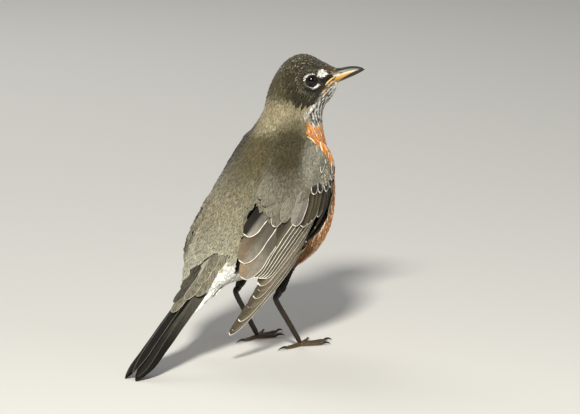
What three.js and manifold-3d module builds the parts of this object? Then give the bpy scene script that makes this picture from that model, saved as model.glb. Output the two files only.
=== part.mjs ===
// An American robin (Turdus migratorius), life size, standing upright and looking over its right shoulder.
// The beak-to-tail plane of the trunk is the XZ plane: the bird faces +X, its left side is +Y, and +Z is up.
// All sizes are in millimetres. The group's origin is the middle of the underside of the whole bird's box.

import * as THREE from "three";
import { mergeVertices } from "three/addons/utils/BufferGeometryUtils.js";
import Module from "manifold-3d";

const wasm = await Module();
wasm.setup();

// ---------- driving dimensions ----------

const GAP = 0.3; // left between pieces that touch
const NECK_AXIS_X = 18; // the head turns about the upright line through here
const HEAD_TURN = -45; // degrees, towards the bird's right

const FLOOR = -2.5; // the level that the feet and the tail's tip rest on

const EYE_RADIUS = 4.9;
const EYE = { x: 31.3, z: 172.5, side: 10.3 }; // the eyeball's middle, before the head is turned

const WRIST = new THREE.Vector3(15.9, -31.5, 127.5); // the bend of the folded right wing
const WING_TIP = new THREE.Vector3(-59.2, -26, 19.5);
const WING_BULGE = 5.5; // how far the folded wing bows out over the flank
const WING_LEAN = 14; // degrees that the wing's face tips back
const VANE_THICKNESS = 0.8;

const TAIL_BASE = new THREE.Vector3(-50, 0, 61.6);
const TAIL_LENGTH = 100;
const TAIL_TIP_HEIGHT = 0.9; // the tail's middle line ends this far above the floor
const TAIL_SWAY = 4; // the tail's end lies this far to the right of the bird's middle plane

const HEEL = { x: -16, side: 16, height: 34 };
const TOE_ROOT = { x: 4, side: 17.5, height: 2.6 };
const RIGHT_STEP = 5; // how far the right foot stands ahead of the left
const SHANK_RADIUS = 1.45;
const TOE_RADIUS = 1.25;
const SOLE_DEPTH = 0.35; // how far the round toes are flattened where they stand

const PLUMAGE_ROUND = 18; // faces round the body
const PLUMAGE_LONG = 38; // and along it

// ---------- the body's profile ----------

// From the tips of the undertail coverts up over the belly and breast to the neck, the crown and the root of the bill.
// back and belly are the upper and lower outline [x, z] in the middle plane, half is the half width across,
// fluff is the share by which the back's plumage stands out further on the left, over the edge of that wing,
// and turn is the share of the head's turn that the neck has taken there.
const BODY = [
  { back: [-80, 38], belly: [-80, 38], half: 0 },
  { back: [-71.5, 46.5], belly: [-67.5, 40.5], half: 9.5, fluff: 0.8 },
  { back: [-63.5, 56], belly: [-55, 44.5], half: 14.5, fluff: 0.7 },
  { back: [-56, 67], belly: [-42, 46.5], half: 19, fluff: 0.6 },
  { back: [-49, 80], belly: [-25, 47], half: 24.5, fluff: 0.5 },
  { back: [-42, 93], belly: [-4, 46.5], half: 30.5, fluff: 0.25 },
  { back: [-35, 105], belly: [19.5, 50.5], half: 35 },
  { back: [-27, 117], belly: [36.5, 62.5], half: 36 },
  { back: [-19, 127.5], belly: [43.5, 80], half: 35 },
  { back: [-12.5, 136], belly: [45.5, 98.5], half: 31.5, turn: 0.05 },
  { back: [-6.5, 143], belly: [44.3, 115], half: 25.5, turn: 0.15 },
  { back: [-2, 148.5], belly: [41.8, 130], half: 19.5, turn: 0.35 },
  { back: [0.5, 153.5], belly: [39.3, 143], half: 16.8, turn: 0.6 },
  { back: [2.3, 158.5], belly: [39.6, 151.5], half: 16.2, turn: 0.8 },
  { back: [6.3, 170.5], belly: [42.6, 157], half: 16, turn: 0.95 },
  { back: [13.5, 183], belly: [45, 160], half: 15.2, turn: 1 },
  { back: [24, 188.5], belly: [46.5, 162.5], half: 13.2, turn: 1 },
  { back: [32, 187], belly: [47.7, 164.8], half: 9.8, turn: 1 },
  { back: [39, 183], belly: [49, 167.5], half: 6.6, turn: 1 },
  { back: [46, 179], belly: [50.2, 170.2], half: 4.2, turn: 1 },
  { back: [49.5, 175.5], belly: [49.5, 175.5], half: 0, turn: 1 },
];

// The bill's upper edge (culmen) and lower edge (gonys), from inside the face to the tip.
const BILL = [
  { back: [38, 171], belly: [38, 171], half: 0 },
  { back: [40.5, 176], belly: [40.5, 166.5], half: 6.6 },
  { back: [45, 178.3], belly: [45.5, 168.3], half: 5.2 },
  { back: [50, 178.9], belly: [50.5, 170.2], half: 3.7 },
  { back: [55, 179.8], belly: [55.5, 172.3], half: 2.8 },
  { back: [60, 180], belly: [60, 174.3], half: 2.0 },
  { back: [64, 179.2], belly: [63.8, 176.3], half: 1.1 },
  { back: [66.2, 177.8], belly: [66.2, 177.8], half: 0 },
];
const GAPE = [39.7, 168.9]; // the corner of the mouth; the bill parts along the line from here to its tip
const BILL_TIP = [66.2, 177.9];

// ---------- small tools ----------

const radians = THREE.MathUtils.degToRad;

// A closed geometry as a solid, with its faces turned outwards.
function solid(geometry) {
  const bare = geometry.clone();
  bare.deleteAttribute("normal");
  bare.deleteAttribute("uv");
  const merged = mergeVertices(bare, 1e-3);
  const vertProperties = merged.attributes.position.array;
  const make = (triVerts) => new wasm.Manifold(new wasm.Mesh({ numProp: 3, vertProperties, triVerts }));
  const triVerts = new Uint32Array(merged.index.array);
  const made = make(triVerts);
  return made.volume() >= 0 ? made : make(triVerts.reverse());
}

// The largest single body of a solid, so that a cut leaves no crumbs.
function largest(made) {
  const bodies = made.decompose();
  return bodies.reduce((best, body) => (body.volume() > best.volume() ? body : best));
}

function union(solids) {
  return solids.reduce((whole, next) => whole.add(next));
}

function geometryOf(made) {
  const mesh = made.getMesh();
  const geometry = new THREE.BufferGeometry();
  const places = new Float32Array(mesh.numVert * 3);
  for (let i = 0; i < mesh.numVert; i++) {
    places.set(mesh.vertProperties.subarray(i * mesh.numProp, i * mesh.numProp + 3), i * 3);
  }
  geometry.setAttribute("position", new THREE.BufferAttribute(places, 3));
  geometry.setIndex(new THREE.BufferAttribute(mesh.triVerts, 1));
  geometry.computeVertexNormals();
  return geometry;
}

// Moves every vertex of a geometry to place(x, y, z).
function warp(geometry, place) {
  const position = geometry.attributes.position;
  for (let i = 0; i < position.count; i++) {
    const p = place(position.getX(i), position.getY(i), position.getZ(i));
    position.setXYZ(i, p.x, p.y, p.z);
  }
  return geometry;
}

// A sphere whose poles are the two ends of a lofted form: place(along, angle) gives each point of its skin.
function loft(round, long, place) {
  const ball = new THREE.SphereGeometry(1, round, long);
  const uv = ball.attributes.uv;
  let i = 0;
  return warp(ball, () => {
    const along = THREE.MathUtils.clamp(1 - uv.getY(i), 0, 1);
    const angle = 2 * Math.PI * uv.getX(i);
    i += 1;
    return place(along, angle);
  });
}

// A smooth line through [x, z] outline points, with the half width as its third number.
function outline(stations, key) {
  return new THREE.CatmullRomCurve3(stations.map((s) => new THREE.Vector3(s[key][0], s.half, s[key][1])));
}

const headTurn = (share) => radians(HEAD_TURN) * THREE.MathUtils.clamp(share, 0, 1);

// A point of the middle-plane frame (x forward, side to the left, z up), turned with the neck.
function turned(x, side, z, share) {
  const angle = headTurn(share);
  const ahead = x - NECK_AXIS_X;
  return new THREE.Vector3(
    NECK_AXIS_X + ahead * Math.cos(angle) - side * Math.sin(angle),
    ahead * Math.sin(angle) + side * Math.cos(angle),
    z,
  );
}

// What a key of the stations is at a share of the way along them.
function shareOf(stations, key, along) {
  const place = along * (stations.length - 1);
  const i = Math.min(Math.floor(place), stations.length - 2);
  const [from, to] = [stations[i][key] ?? 0, stations[i + 1][key] ?? 0];
  return THREE.MathUtils.lerp(from, to, THREE.MathUtils.smoothstep(place - i, 0, 1));
}

// A form lofted through stations, swollen by grow. Fullness above 1 squares its sections.
function lofted(stations, { round, long, grow = 0, fullness = 1, turnOf = () => 1 }) {
  const upper = outline(stations, "back");
  const lower = outline(stations, "belly");
  const square = (c) => Math.sign(c) * Math.abs(c) ** (1 / fullness);
  return loft(round, long, (along, angle) => {
    const a = upper.getPoint(along);
    const b = lower.getPoint(along);
    const height = a.clone().sub(b).setY(0);
    const size = Math.max(height.length() / 2, 1e-6);
    const reach = size + grow;
    const raised = Math.max(0, Math.cos(angle)) * (1 + Math.sin(angle)) / 2;
    const fluff = shareOf(stations, "fluff", along) * raised;
    const half = Math.max((a.y + b.y) / 2, 0) * (1 + fluff) + grow;
    const middle = a.clone().add(b).multiplyScalar(0.5);
    const up = height.length() < 1e-6 ? new THREE.Vector3(0, 0, 1) : height.normalize();
    const end = along < 1e-6 || along > 1 - 1e-6;
    const s = end ? 0 : square(Math.sin(angle)) * reach;
    const c = end ? 0 : square(Math.cos(angle)) * half;
    return turned(middle.x + up.x * s, c, middle.z + up.z * s, turnOf(along));
  });
}

// A box as a cutter: its middle, its three sizes and its pitch about Y.
function cutter(middle, size, pitch = 0, yaw = 0) {
  const box = new THREE.BoxGeometry(size[0], size[1], size[2]);
  box.rotateY(-pitch);
  box.rotateZ(yaw);
  box.translate(middle.x, middle.y, middle.z);
  return solid(box);
}

// ---------- trunk, neck and head ----------

const turnAlong = (along) => shareOf(BODY, "turn", along);

const bodyShape = (grow) =>
  solid(lofted(BODY, { round: PLUMAGE_ROUND, long: PLUMAGE_LONG, grow, turnOf: turnAlong }));

const eyeMiddle = (side) => turned(EYE.x, side * EYE.side, EYE.z, 1);

function eyeball(side, grow = 0) {
  const ball = new THREE.SphereGeometry(EYE_RADIUS + grow, 12, 8);
  const middle = eyeMiddle(side);
  ball.translate(middle.x, middle.y, middle.z);
  return solid(ball);
}

const billShape = (grow) => solid(lofted(BILL, { round: 12, long: 12, grow, fullness: 1.12 }));

// Half of a bill shape: the side of the mouth line that the cutter keeps.
function billHalf(whole, above) {
  const mouthPitch = Math.atan2(BILL_TIP[1] - GAPE[1], BILL_TIP[0] - GAPE[0]);
  const depth = 30;
  const offset = (above ? 1 : -1) * (depth / 2 + GAP / 2);
  const middle = turned(
    GAPE[0] - Math.sin(mouthPitch) * offset,
    0,
    GAPE[1] + Math.cos(mouthPitch) * offset,
    1,
  );
  return whole.intersect(cutter(middle, [90, 90, depth], mouthPitch, radians(HEAD_TURN)));
}

// The cuts that part the head from the neck and the neck from the trunk: a point of the middle plane and a pitch.
const HEAD_CUT = { x: 24, z: 158, pitch: 17, turn: 1 };
const TRUNK_CUT = { x: 17, z: 143, pitch: 8, turn: 0 };

function keepAbove(made, cut) {
  return made.intersect(sideOf(cut, 1));
}

function keepBelow(made, cut) {
  return made.intersect(sideOf(cut, -1));
}

function sideOf({ x, z, pitch, turn }, way) {
  const depth = 260;
  const offset = way * (depth / 2 + GAP / 2);
  const lean = radians(pitch);
  const middle = turned(x - Math.sin(lean) * offset, 0, z + Math.cos(lean) * offset, turn);
  return cutter(middle, [400, 400, depth], lean, radians(HEAD_TURN) * turn);
}

// ---------- wings ----------

const UP_THE_BACK = new THREE.Vector3(-0.809, 0, 0.588);
const wingChord = WRIST.distanceTo(WING_TIP);
const toTip = WING_TIP.clone().sub(WRIST).normalize();
const wingFace = new THREE.Vector3(0, -Math.cos(radians(WING_LEAN)), 0)
  .addScaledVector(UP_THE_BACK, Math.sin(radians(WING_LEAN)));
wingFace.addScaledVector(toTip, -wingFace.dot(toTip)).normalize();
const toBack = toTip.clone().cross(wingFace);

// A folded wing's own chart: along from the wrist to the tip, across towards the back, lift off the flank.
// The left wing is the mirror image of the right.
const wingChart = (side) => (along, across, lift) => {
  const share = THREE.MathUtils.clamp(along / wingChord, 0, 1);
  const radius = THREE.MathUtils.lerp(36, 100, THREE.MathUtils.smoothstep(share, 0.35, 1));
  const angle = across / radius;
  const point = WRIST.clone()
    .addScaledVector(toTip, along)
    .addScaledVector(wingFace, WING_BULGE * Math.sin(Math.PI * share))
    .addScaledVector(toBack, (radius + lift) * Math.sin(angle))
    .addScaledVector(wingFace, (radius + lift) * Math.cos(angle) - radius);
  return point.setY(-side * point.y);
};

// How wide a vane is along its length, 1 at its widest: a narrow root and a rounded tip.
function vaneWidth(s, tipRound) {
  const root = THREE.MathUtils.lerp(0.5, 1, THREE.MathUtils.smoothstep(s, 0, 0.3));
  const beyond = Math.max(0, (s - 1 + tipRound) / tipRound);
  return root * Math.max(Math.sqrt(Math.max(0, 1 - beyond * beyond)), 0.12);
}

// One flight feather laid on a chart: root, bend and tip are [along, across] there.
function vane(place, { root, bend, tip, width, lift, tipRound = 0.14, steps = 4 }, grow = 0) {
  const midline = new THREE.QuadraticBezierCurve(
    new THREE.Vector2(...root),
    new THREE.Vector2(...bend),
    new THREE.Vector2(...tip),
  );
  const blade = new THREE.BoxGeometry(1, 1, 1, 1, steps, 1);
  return solid(
    warp(blade, (x, y, z) => {
      const s = 1 - (0.5 - y) ** 1.7; // the steps crowd towards the tip
      const point = midline.getPoint(s);
      const way = midline.getTangent(s);
      const beyond = (y < -0.49 ? -1 : y > 0.49 ? 1 : 0) * grow;
      const across = x * (width * vaneWidth(s, tipRound) + 2 * grow);
      const height = lift + z * (VANE_THICKNESS + 2 * grow);
      const along = point.x + way.x * beyond - way.y * across;
      return place(along, point.y + way.y * beyond + way.x * across, height);
    }),
  );
}

const between = (low, high, count, i) => THREE.MathUtils.lerp(low, high, count > 1 ? i / (count - 1) : 0);

const PRIMARIES = 7;
const SECONDARIES = 5;
const TERTIAL_TIPS = [[99.6, 12.5], [90, 20], [73, 24.5]];

function outerFeathers(chart) {
  return union(Array.from({ length: PRIMARIES }, (_, i) => vane(chart, {
    root: [between(24, 34, PRIMARIES, i), between(-6, -21, PRIMARIES, i)],
    bend: [70, between(-2, -20.5, PRIMARIES, i)],
    tip: [between(98, wingChord + 2, PRIMARIES, i), between(4, 1, PRIMARIES, i)],
    width: between(10.5, 8, PRIMARIES, i),
    lift: between(-1.6, -3.2, PRIMARIES, i),
    tipRound: between(0.1, 0.2, PRIMARIES, i),
  })));
}

function innerFeathers(chart, grow = 0) {
  const secondaries = Array.from({ length: SECONDARIES }, (_, i) => ({
    root: [between(22, 30, SECONDARIES, i), between(-5, 10, SECONDARIES, i)],
    bend: [62, between(-10, 9, SECONDARIES, i)],
    tip: [between(93, 97, SECONDARIES, i), between(-1, 8, SECONDARIES, i)],
    width: 11,
    lift: between(-0.4, 1.2, SECONDARIES, i),
  }));
  const tertials = TERTIAL_TIPS.map((tip, i) => ({
    root: [34, 13 + 4 * i],
    bend: [62, 12.5 + 5 * i],
    tip,
    width: 14 - i,
    lift: 1.7 + 0.5 * i,
    tipRound: 0.22,
  }));
  return union([...secondaries, ...tertials].map((feather) => vane(chart, feather, grow)));
}

// The rounded shoulder of scapulars and coverts that lies over the roots of the flight feathers.
const SHOULDER = { along: 27, across: 2, length: 35, width: 34, lift: -3, thickness: 6.3 };

function shoulder(chart, grow = 0) {
  return solid(
    warp(new THREE.SphereGeometry(1, 16, 10), (x, y, z) => {
      const { along, across, length, width, lift, thickness } = SHOULDER;
      return chart(
        along + (length + grow) * y,
        across + (width + grow) * x,
        lift + (thickness + grow) * z,
      );
    }),
  );
}

function wing(side, body) {
  const chart = wingChart(side);
  const cover = shoulder(chart, GAP).add(body);
  return {
    coverts: largest(shoulder(chart).subtract(body)),
    secondaries: largest(innerFeathers(chart).subtract(cover)),
    primaries: largest(outerFeathers(chart).subtract(cover).subtract(innerFeathers(chart, GAP))),
  };
}

// ---------- tail ----------

const tailPitch = Math.asin((TAIL_BASE.z - FLOOR - TAIL_TIP_HEIGHT) / TAIL_LENGTH);

// The tail's chart: along from its root to its tips, across to the left, lift off its upper side.
function tailPoint(along, across, lift) {
  const arched = lift - (across * across) / 130;
  return new THREE.Vector3(
    TAIL_BASE.x - along * Math.cos(tailPitch) - arched * Math.sin(tailPitch),
    across - (TAIL_SWAY * along) / TAIL_LENGTH,
    TAIL_BASE.z - along * Math.sin(tailPitch) + arched * Math.cos(tailPitch),
  );
}

const TAIL_SHORTFALLS = [3, 0.5, 0, 1.5, 3, 5]; // from the middle pair to the outermost

// The pairs run side by side and part a little at their ends, so that the tail ends in two points.
function tailFeathers() {
  const feathers = [];
  for (const [pair, shortfall] of TAIL_SHORTFALLS.entries()) {
    for (const side of [-1, 1]) {
      const out = side * (pair + 0.5);
      feathers.push(
        vane(tailPoint, {
          root: [4, out * 0.9],
          bend: [60, out * 0.95],
          tip: [TAIL_LENGTH + 2 - shortfall, side * (4.4 + 0.25 * pair)],
          width: 10,
          lift: 1.4 - 0.42 * pair,
          tipRound: 0.1,
        }),
      );
    }
  }
  return union(feathers);
}

// ---------- legs ----------

const ROOM = 600; // a cube of space over the floor, larger than the bird
const aboveFloor = (made) => made.intersect(cutter(new THREE.Vector3(0, 0, FLOOR + ROOM / 2), [ROOM, ROOM, ROOM]));

// A round-sectioned form along a line of points; radii are given at even steps along it. Both ends close in a point.
function limb(points, radii, { round = 7, long = 6, grow = 0, flat = 1 } = {}) {
  const line = new THREE.CatmullRomCurve3(points);
  const size = new THREE.SplineCurve(radii.map((r, i) => new THREE.Vector2(i, r)));
  return solid(
    loft(round, long, (along, angle) => {
      const way = line.getTangent(along);
      const side = new THREE.Vector3(0, 1, 0).addScaledVector(way, -way.y).normalize();
      const over = way.clone().cross(side);
      const end = Math.sqrt(Math.max(0, 1 - (2 * along - 1) ** 10));
      const radius = (size.getPoint(along).y + grow) * end;
      return line.getPoint(along)
        .addScaledVector(way, (2 * along - 1) ** 9 * grow)
        .addScaledVector(side, radius * flat * Math.cos(angle))
        .addScaledVector(over, radius * Math.sin(angle));
    }),
  );
}

// Splay is in degrees, outwards from the foot's own middle line.
const TOES = {
  middle: { splay: 2, length: 21, claw: 6.5 },
  inner: { splay: -30, length: 14, claw: 6 },
  outer: { splay: 27, length: 15.5, claw: 5.5 },
  hind: { splay: 178, length: 12, claw: 8 },
};
const FOOT_TURN = 4; // degrees that each foot points outwards

function leg(side, body) {
  const step = side < 0 ? RIGHT_STEP : 0;
  const heel = new THREE.Vector3(HEEL.x + step, side * HEEL.side, FLOOR + HEEL.height);
  const root = new THREE.Vector3(TOE_ROOT.x + step, side * TOE_ROOT.side, FLOOR + TOE_ROOT.height);
  const from = (point, x, z) => point.clone().add(new THREE.Vector3(x, 0, z));
  const thighPoints = [from(heel, 15, 34), from(heel, 8, 17), from(heel, 0.8, 0.8)];
  const thigh = limb(thighPoints, [8, 7, 4.8, 2.9], { round: 10 });
  const shankPoints = [heel, heel.clone().lerp(root, 0.5), from(root, 1, -0.9)];
  const shank = (grow) => limb(shankPoints, [2.3, 1.6, SHANK_RADIUS, 1.5, 2.2], { long: 10, grow, flat: 0.85 });
  const parts = { thigh: largest(thigh.subtract(body).subtract(shank(GAP))), shank: aboveFloor(shank(0)) };
  let taken = shank(GAP);
  for (const [name, { splay, length, claw }] of Object.entries(TOES)) {
    const heading = radians(side * (splay + FOOT_TURN));
    const out = (distance, height) => new THREE.Vector3(
      root.x + distance * Math.cos(heading),
      root.y + distance * Math.sin(heading),
      FLOOR + height,
    );
    const rest = TOE_RADIUS - SOLE_DEPTH;
    const toePoints = [out(0, 1.6), out(length * 0.45, rest + 0.1), out(length, rest)];
    const toe = (grow) => limb(toePoints, [1.35, 1.2, TOE_RADIUS, 1.1, 1.15], { grow });
    const clawPoints = [out(length - 1.4, rest + 0.2), out(length + claw * 0.45, rest + 0.9), out(length + claw, 0.35)];
    const nail = limb(clawPoints, [0.95, 0.85, 0.3], { round: 5, long: 5 });
    parts[`toe_${name}`] = largest(aboveFloor(toe(0).subtract(taken)));
    parts[`claw_${name}`] = largest(aboveFloor(nail.subtract(toe(GAP))));
    taken = taken.add(toe(GAP));
  }
  return parts;
}

// ---------- the bird ----------

const BLACK_HORN = { color: 0x24211d, roughness: 0.45 };
const finishes = {
  back: { color: 0x6e6752, roughness: 0.9 },
  crown: { color: 0x3a372e, roughness: 0.85 },
  breast: { color: 0xc98a4e, roughness: 0.9 },
  flight: { color: 0x6b6251, roughness: 0.8 },
  tail: { color: 0x33322c, roughness: 0.8 },
  bill: { color: 0xb5883f, roughness: 0.4 },
  eye: { color: 0x0c0a08, roughness: 0.08 },
  leg: { color: 0x3b2f22, roughness: 0.6 },
  claw: BLACK_HORN,
};

const robin = new THREE.Group();

function addPart(name, made, finish) {
  const mesh = new THREE.Mesh(geometryOf(made), new THREE.MeshStandardMaterial({ metalness: 0, ...finish }));
  mesh.name = name;
  robin.add(mesh);
}

const whole = bodyShape(0);
const swollen = bodyShape(GAP);
const sides = { left: 1, right: -1 };

addPart("trunk", largest(keepBelow(whole, TRUNK_CUT)), finishes.breast);
addPart("neck", largest(keepBelow(keepAbove(whole, TRUNK_CUT), HEAD_CUT)), finishes.back);
const sockets = union([billShape(GAP), eyeball(1, GAP), eyeball(-1, GAP)]);
addPart("head", largest(keepAbove(whole, HEAD_CUT).subtract(sockets)), finishes.crown);
addPart("bill_upper", largest(billHalf(billShape(0), true)), finishes.bill);
addPart("bill_lower", largest(billHalf(billShape(0), false)), finishes.bill);

for (const [sideName, side] of Object.entries(sides)) {
  addPart(`eye_${sideName}`, eyeball(side), finishes.eye);
  for (const [name, made] of Object.entries(wing(side, swollen))) {
    addPart(`wing_${sideName}_${name}`, made, name === "coverts" ? finishes.back : finishes.flight);
  }
  for (const [name, made] of Object.entries(leg(side, swollen))) {
    const [kind, toeName] = name.split("_");
    const fullName = toeName ? `${kind}_${sideName}_${toeName}` : `${kind}_${sideName}`;
    addPart(fullName, made, { thigh: finishes.breast, claw: finishes.claw }[kind] ?? finishes.leg);
  }
}
addPart("tail", aboveFloor(largest(tailFeathers().subtract(swollen))), finishes.tail);

const bounds = new THREE.Box3().setFromObject(robin);
const middle = bounds.getCenter(new THREE.Vector3());
robin.position.set(-middle.x, -middle.y, -bounds.min.z);
robin.updateMatrixWorld(true);

export default robin;
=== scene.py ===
# A museum model of an American robin, life size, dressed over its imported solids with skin, feathers,
# quills, horn and scales. Places are in bird millimetres: the trunk faces +X, its left side is +Y and +Z
# is up. "Straight" places are those of the same bird looking ahead, before its neck and head are turned.

import math
from functools import partial
from types import SimpleNamespace

import bpy
import numpy as np
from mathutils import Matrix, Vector
from mathutils.bvhtree import BVHTree
from mathutils.kdtree import KDTree


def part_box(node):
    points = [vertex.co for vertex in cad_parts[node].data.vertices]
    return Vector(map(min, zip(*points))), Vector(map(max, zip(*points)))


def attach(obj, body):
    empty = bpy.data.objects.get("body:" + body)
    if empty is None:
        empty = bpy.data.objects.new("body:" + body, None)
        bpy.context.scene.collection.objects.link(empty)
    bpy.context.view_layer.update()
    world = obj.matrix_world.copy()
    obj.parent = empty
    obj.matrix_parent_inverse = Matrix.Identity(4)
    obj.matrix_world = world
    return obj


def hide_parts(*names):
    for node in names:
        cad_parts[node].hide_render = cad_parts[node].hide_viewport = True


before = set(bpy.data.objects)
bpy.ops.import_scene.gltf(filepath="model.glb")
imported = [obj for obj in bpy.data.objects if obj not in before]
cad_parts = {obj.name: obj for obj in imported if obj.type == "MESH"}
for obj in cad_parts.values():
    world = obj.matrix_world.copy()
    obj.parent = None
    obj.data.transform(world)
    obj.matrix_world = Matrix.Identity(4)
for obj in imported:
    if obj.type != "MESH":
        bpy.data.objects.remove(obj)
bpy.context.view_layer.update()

# ---------- driving sizes, in millimetres ----------

MM = 0.001  # one millimetre in the frame's metres
FLOOR = -2.5  # the level that the bird stands on

NECK_AXIS_X = 18.0
HEAD_TURN = math.radians(-45)
EYE = np.array([31.3, 10.3, 172.5])  # the left eyeball's middle, straight
EYE_RADIUS = 4.9
LID_RADIUS = 3.95

WRIST = np.array([15.9, -31.5, 127.5])  # the bend of the folded right wing
WING_TIP = np.array([-59.2, -26.0, 19.5])
WING_BULGE = 5.5
WING_LEAN = math.radians(14)
UP_THE_BACK = np.array([-0.809, 0.0, 0.588])
PAD = {"along": 27, "across": 2, "length": 35, "width": 34, "lift": -3, "thickness": 6.3}

TAIL_BASE = np.array([-50.0, 0.0, 61.6])
TAIL_LENGTH = 100.0
TAIL_TIP_HEIGHT = 0.9
TAIL_SWAY = 4.0
TAIL_ARCH = 130.0

HEEL = np.array([-16.0, 16.0, 34.0])
TOE_ROOT = np.array([4.0, 17.5, 2.6])
RIGHT_STEP = 5.0
SIDES = {"left": 1, "right": -1}

luck = np.random.default_rng(41)

# The bird's middle line from the root of the bill back through the neck to the tail, straight: [x, z].
SPINE = [
    (49.5, 175.5), (35, 175.5), (29, 171.5), (24, 163.7), (20, 148), (19, 129),
    (12, 104), (-8, 78), (-37, 63.5), (-59, 50), (-80, 38),
]

# ---------- places ----------


def ramp(low, high, value):
    """0 below low, 1 above high, smooth between; high may lie below low."""
    share = np.clip((np.asarray(value, float) - low) / (high - low), 0, 1)
    return share * share * (3 - 2 * share)


def mix(a, b, share):
    return a + (b - a) * share


def unit(vectors):
    return vectors / np.maximum(np.linalg.norm(vectors, axis=-1, keepdims=True), 1e-9)


def swing(points, angle, axis_x=NECK_AXIS_X):
    """Points turned about the neck's upright axis; axis_x 0 turns directions."""
    ahead, side = points[..., 0] - axis_x, points[..., 1]
    c, s = np.cos(angle), np.sin(angle)
    return np.stack([axis_x + ahead * c - side * s, ahead * s + side * c, points[..., 2]], -1)


def turn_share(straight):
    """How much of the head's turn the neck has taken at a straight place."""
    height = straight[..., 2] + 0.4 * (straight[..., 0] - 20)
    heights = [105, 117, 129, 139, 148, 155, 164, 171]
    return np.interp(height, heights, [0, 0.05, 0.15, 0.35, 0.6, 0.8, 0.95, 1])


def straightened(points):
    straight = points
    for _ in range(3):
        straight = swing(points, -HEAD_TURN * turn_share(straight))
    return straight


def head_place(x, side, z):
    """A place on the turned head, given straight."""
    return swing(np.array([x, side, z], float), HEAD_TURN)


def on_left(points):
    """Places of both sides, all on the left one."""
    return np.where([False, True, False], np.abs(points), points)


def from_axis(points, start, way):
    """How far places lie along an axis and off it."""
    local = points - start
    along = local @ way
    return along, np.linalg.norm(local - along[..., None] * way, axis=-1)


def leg_place(side, place):
    """A place of the left leg, given above the floor, on the leg of a side."""
    step = RIGHT_STEP if side < 0 else 0
    return np.array([place[0] + step, side * place[1], place[2] + FLOOR])


THIGH_WAY = unit(np.array([15.0, 0, 34.0]))  # up the feathered leg from the heel


def box_middle(node):
    low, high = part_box(node)
    return np.array((low + high) / 2) / MM


# The bird's own origin in the frame, found from the middle between the two eyeballs.
ORIGIN = (box_middle("eye_left") + box_middle("eye_right")) / 2 - head_place(EYE[0], 0, EYE[2])


def spine_samples(steps=240):
    points = np.array(SPINE, float)
    run = np.r_[0, np.cumsum(np.linalg.norm(np.diff(points, axis=0), axis=1))]
    at = np.linspace(0, run[-1], steps)
    line = np.stack([np.interp(at, run, points[:, k]) for k in (0, 1)], -1)
    padded = np.concatenate([2 * line[:1] - line[12:0:-1], line, 2 * line[-1:] - line[-2:-14:-1]])
    smooth = np.stack([np.convolve(padded[:, k], np.ones(25) / 25, "valid") for k in (0, 1)], -1)
    return smooth, unit(np.gradient(smooth, axis=0)), at


SPINE_LINE, SPINE_WAY, SPINE_RUN = spine_samples()


def along_spine(straight):
    """Distance from the bill along the spine, degrees round it from the back, and the way to the tail."""
    flat = straight.reshape(-1, 3)
    nearest = np.empty(len(flat), int)
    for start in range(0, len(flat), 20000):
        part = flat[start:start + 20000, None, ::2] - SPINE_LINE[None]
        nearest[start:start + 20000] = (part ** 2).sum(-1).argmin(1)
    way = SPINE_WAY[nearest]
    off = flat[:, ::2] - SPINE_LINE[nearest]
    up = off[:, 0] * way[:, 1] - off[:, 1] * way[:, 0]
    turn = np.degrees(np.arctan2(flat[:, 1], up))
    flow = np.stack([way[:, 0], np.zeros(len(way)), way[:, 1]], -1)
    shape = straight.shape[:-1]
    return SPINE_RUN[nearest].reshape(shape), turn.reshape(shape), flow.reshape(straight.shape)


# The folded wing's own chart: along from the wrist to the tip, across towards the back, lift off the flank.
WING_CHORD = float(np.linalg.norm(WING_TIP - WRIST))
TO_TIP = unit(WING_TIP - WRIST)
_face = UP_THE_BACK * math.sin(WING_LEAN) - np.array([0, math.cos(WING_LEAN), 0])
WING_FACE = unit(_face - TO_TIP * (_face @ TO_TIP))
TO_BACK = np.cross(TO_TIP, WING_FACE)


def wing_radius(share):
    return mix(36.0, 100.0, ramp(0.35, 1, share))


def wing_place(side, along, across, lift):
    along, across, lift = np.broadcast_arrays(*(np.asarray(v, float) for v in (along, across, lift)))
    share = np.clip(along / WING_CHORD, 0, 1)
    radius = wing_radius(share)
    angle = across / radius
    out = WING_BULGE * np.sin(np.pi * share) + (radius + lift) * np.cos(angle) - radius
    place = WRIST + along[..., None] * TO_TIP + out[..., None] * WING_FACE
    place = place + ((radius + lift) * np.sin(angle))[..., None] * TO_BACK
    place[..., 1] *= -side
    return place


def on_own_wing(points):
    """The chart's along, across and lift of places, on the wing of their own side."""
    local = on_left(points) * [1, -1, 1] - WRIST
    along = local @ TO_TIP
    share = np.clip(along / WING_CHORD, 0, 1)
    radius = wing_radius(share)
    out = local @ WING_FACE - WING_BULGE * np.sin(np.pi * share) + radius
    back = local @ TO_BACK
    return along, np.arctan2(back, out) * radius, np.hypot(back, out) - radius


def pad_top(along, across):
    """The lift of the shoulder pad's outer side, -3 beyond its rim."""
    beyond = ((along - PAD["along"]) / PAD["length"]) ** 2 + ((across - PAD["across"]) / PAD["width"]) ** 2
    return PAD["lift"] + PAD["thickness"] * np.sqrt(np.maximum(0, 1 - beyond))


_pitch = math.asin((TAIL_BASE[2] - FLOOR - TAIL_TIP_HEIGHT) / TAIL_LENGTH)
TAIL_COS, TAIL_SIN = math.cos(_pitch), math.sin(_pitch)


def tail_place(along, across, lift):
    arched = lift - across**2 / TAIL_ARCH
    x = TAIL_BASE[0] - along * TAIL_COS - arched * TAIL_SIN
    z = TAIL_BASE[2] - along * TAIL_SIN + arched * TAIL_COS
    return np.stack(np.broadcast_arrays(x, across - TAIL_SWAY * along / TAIL_LENGTH, z), -1)


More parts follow.
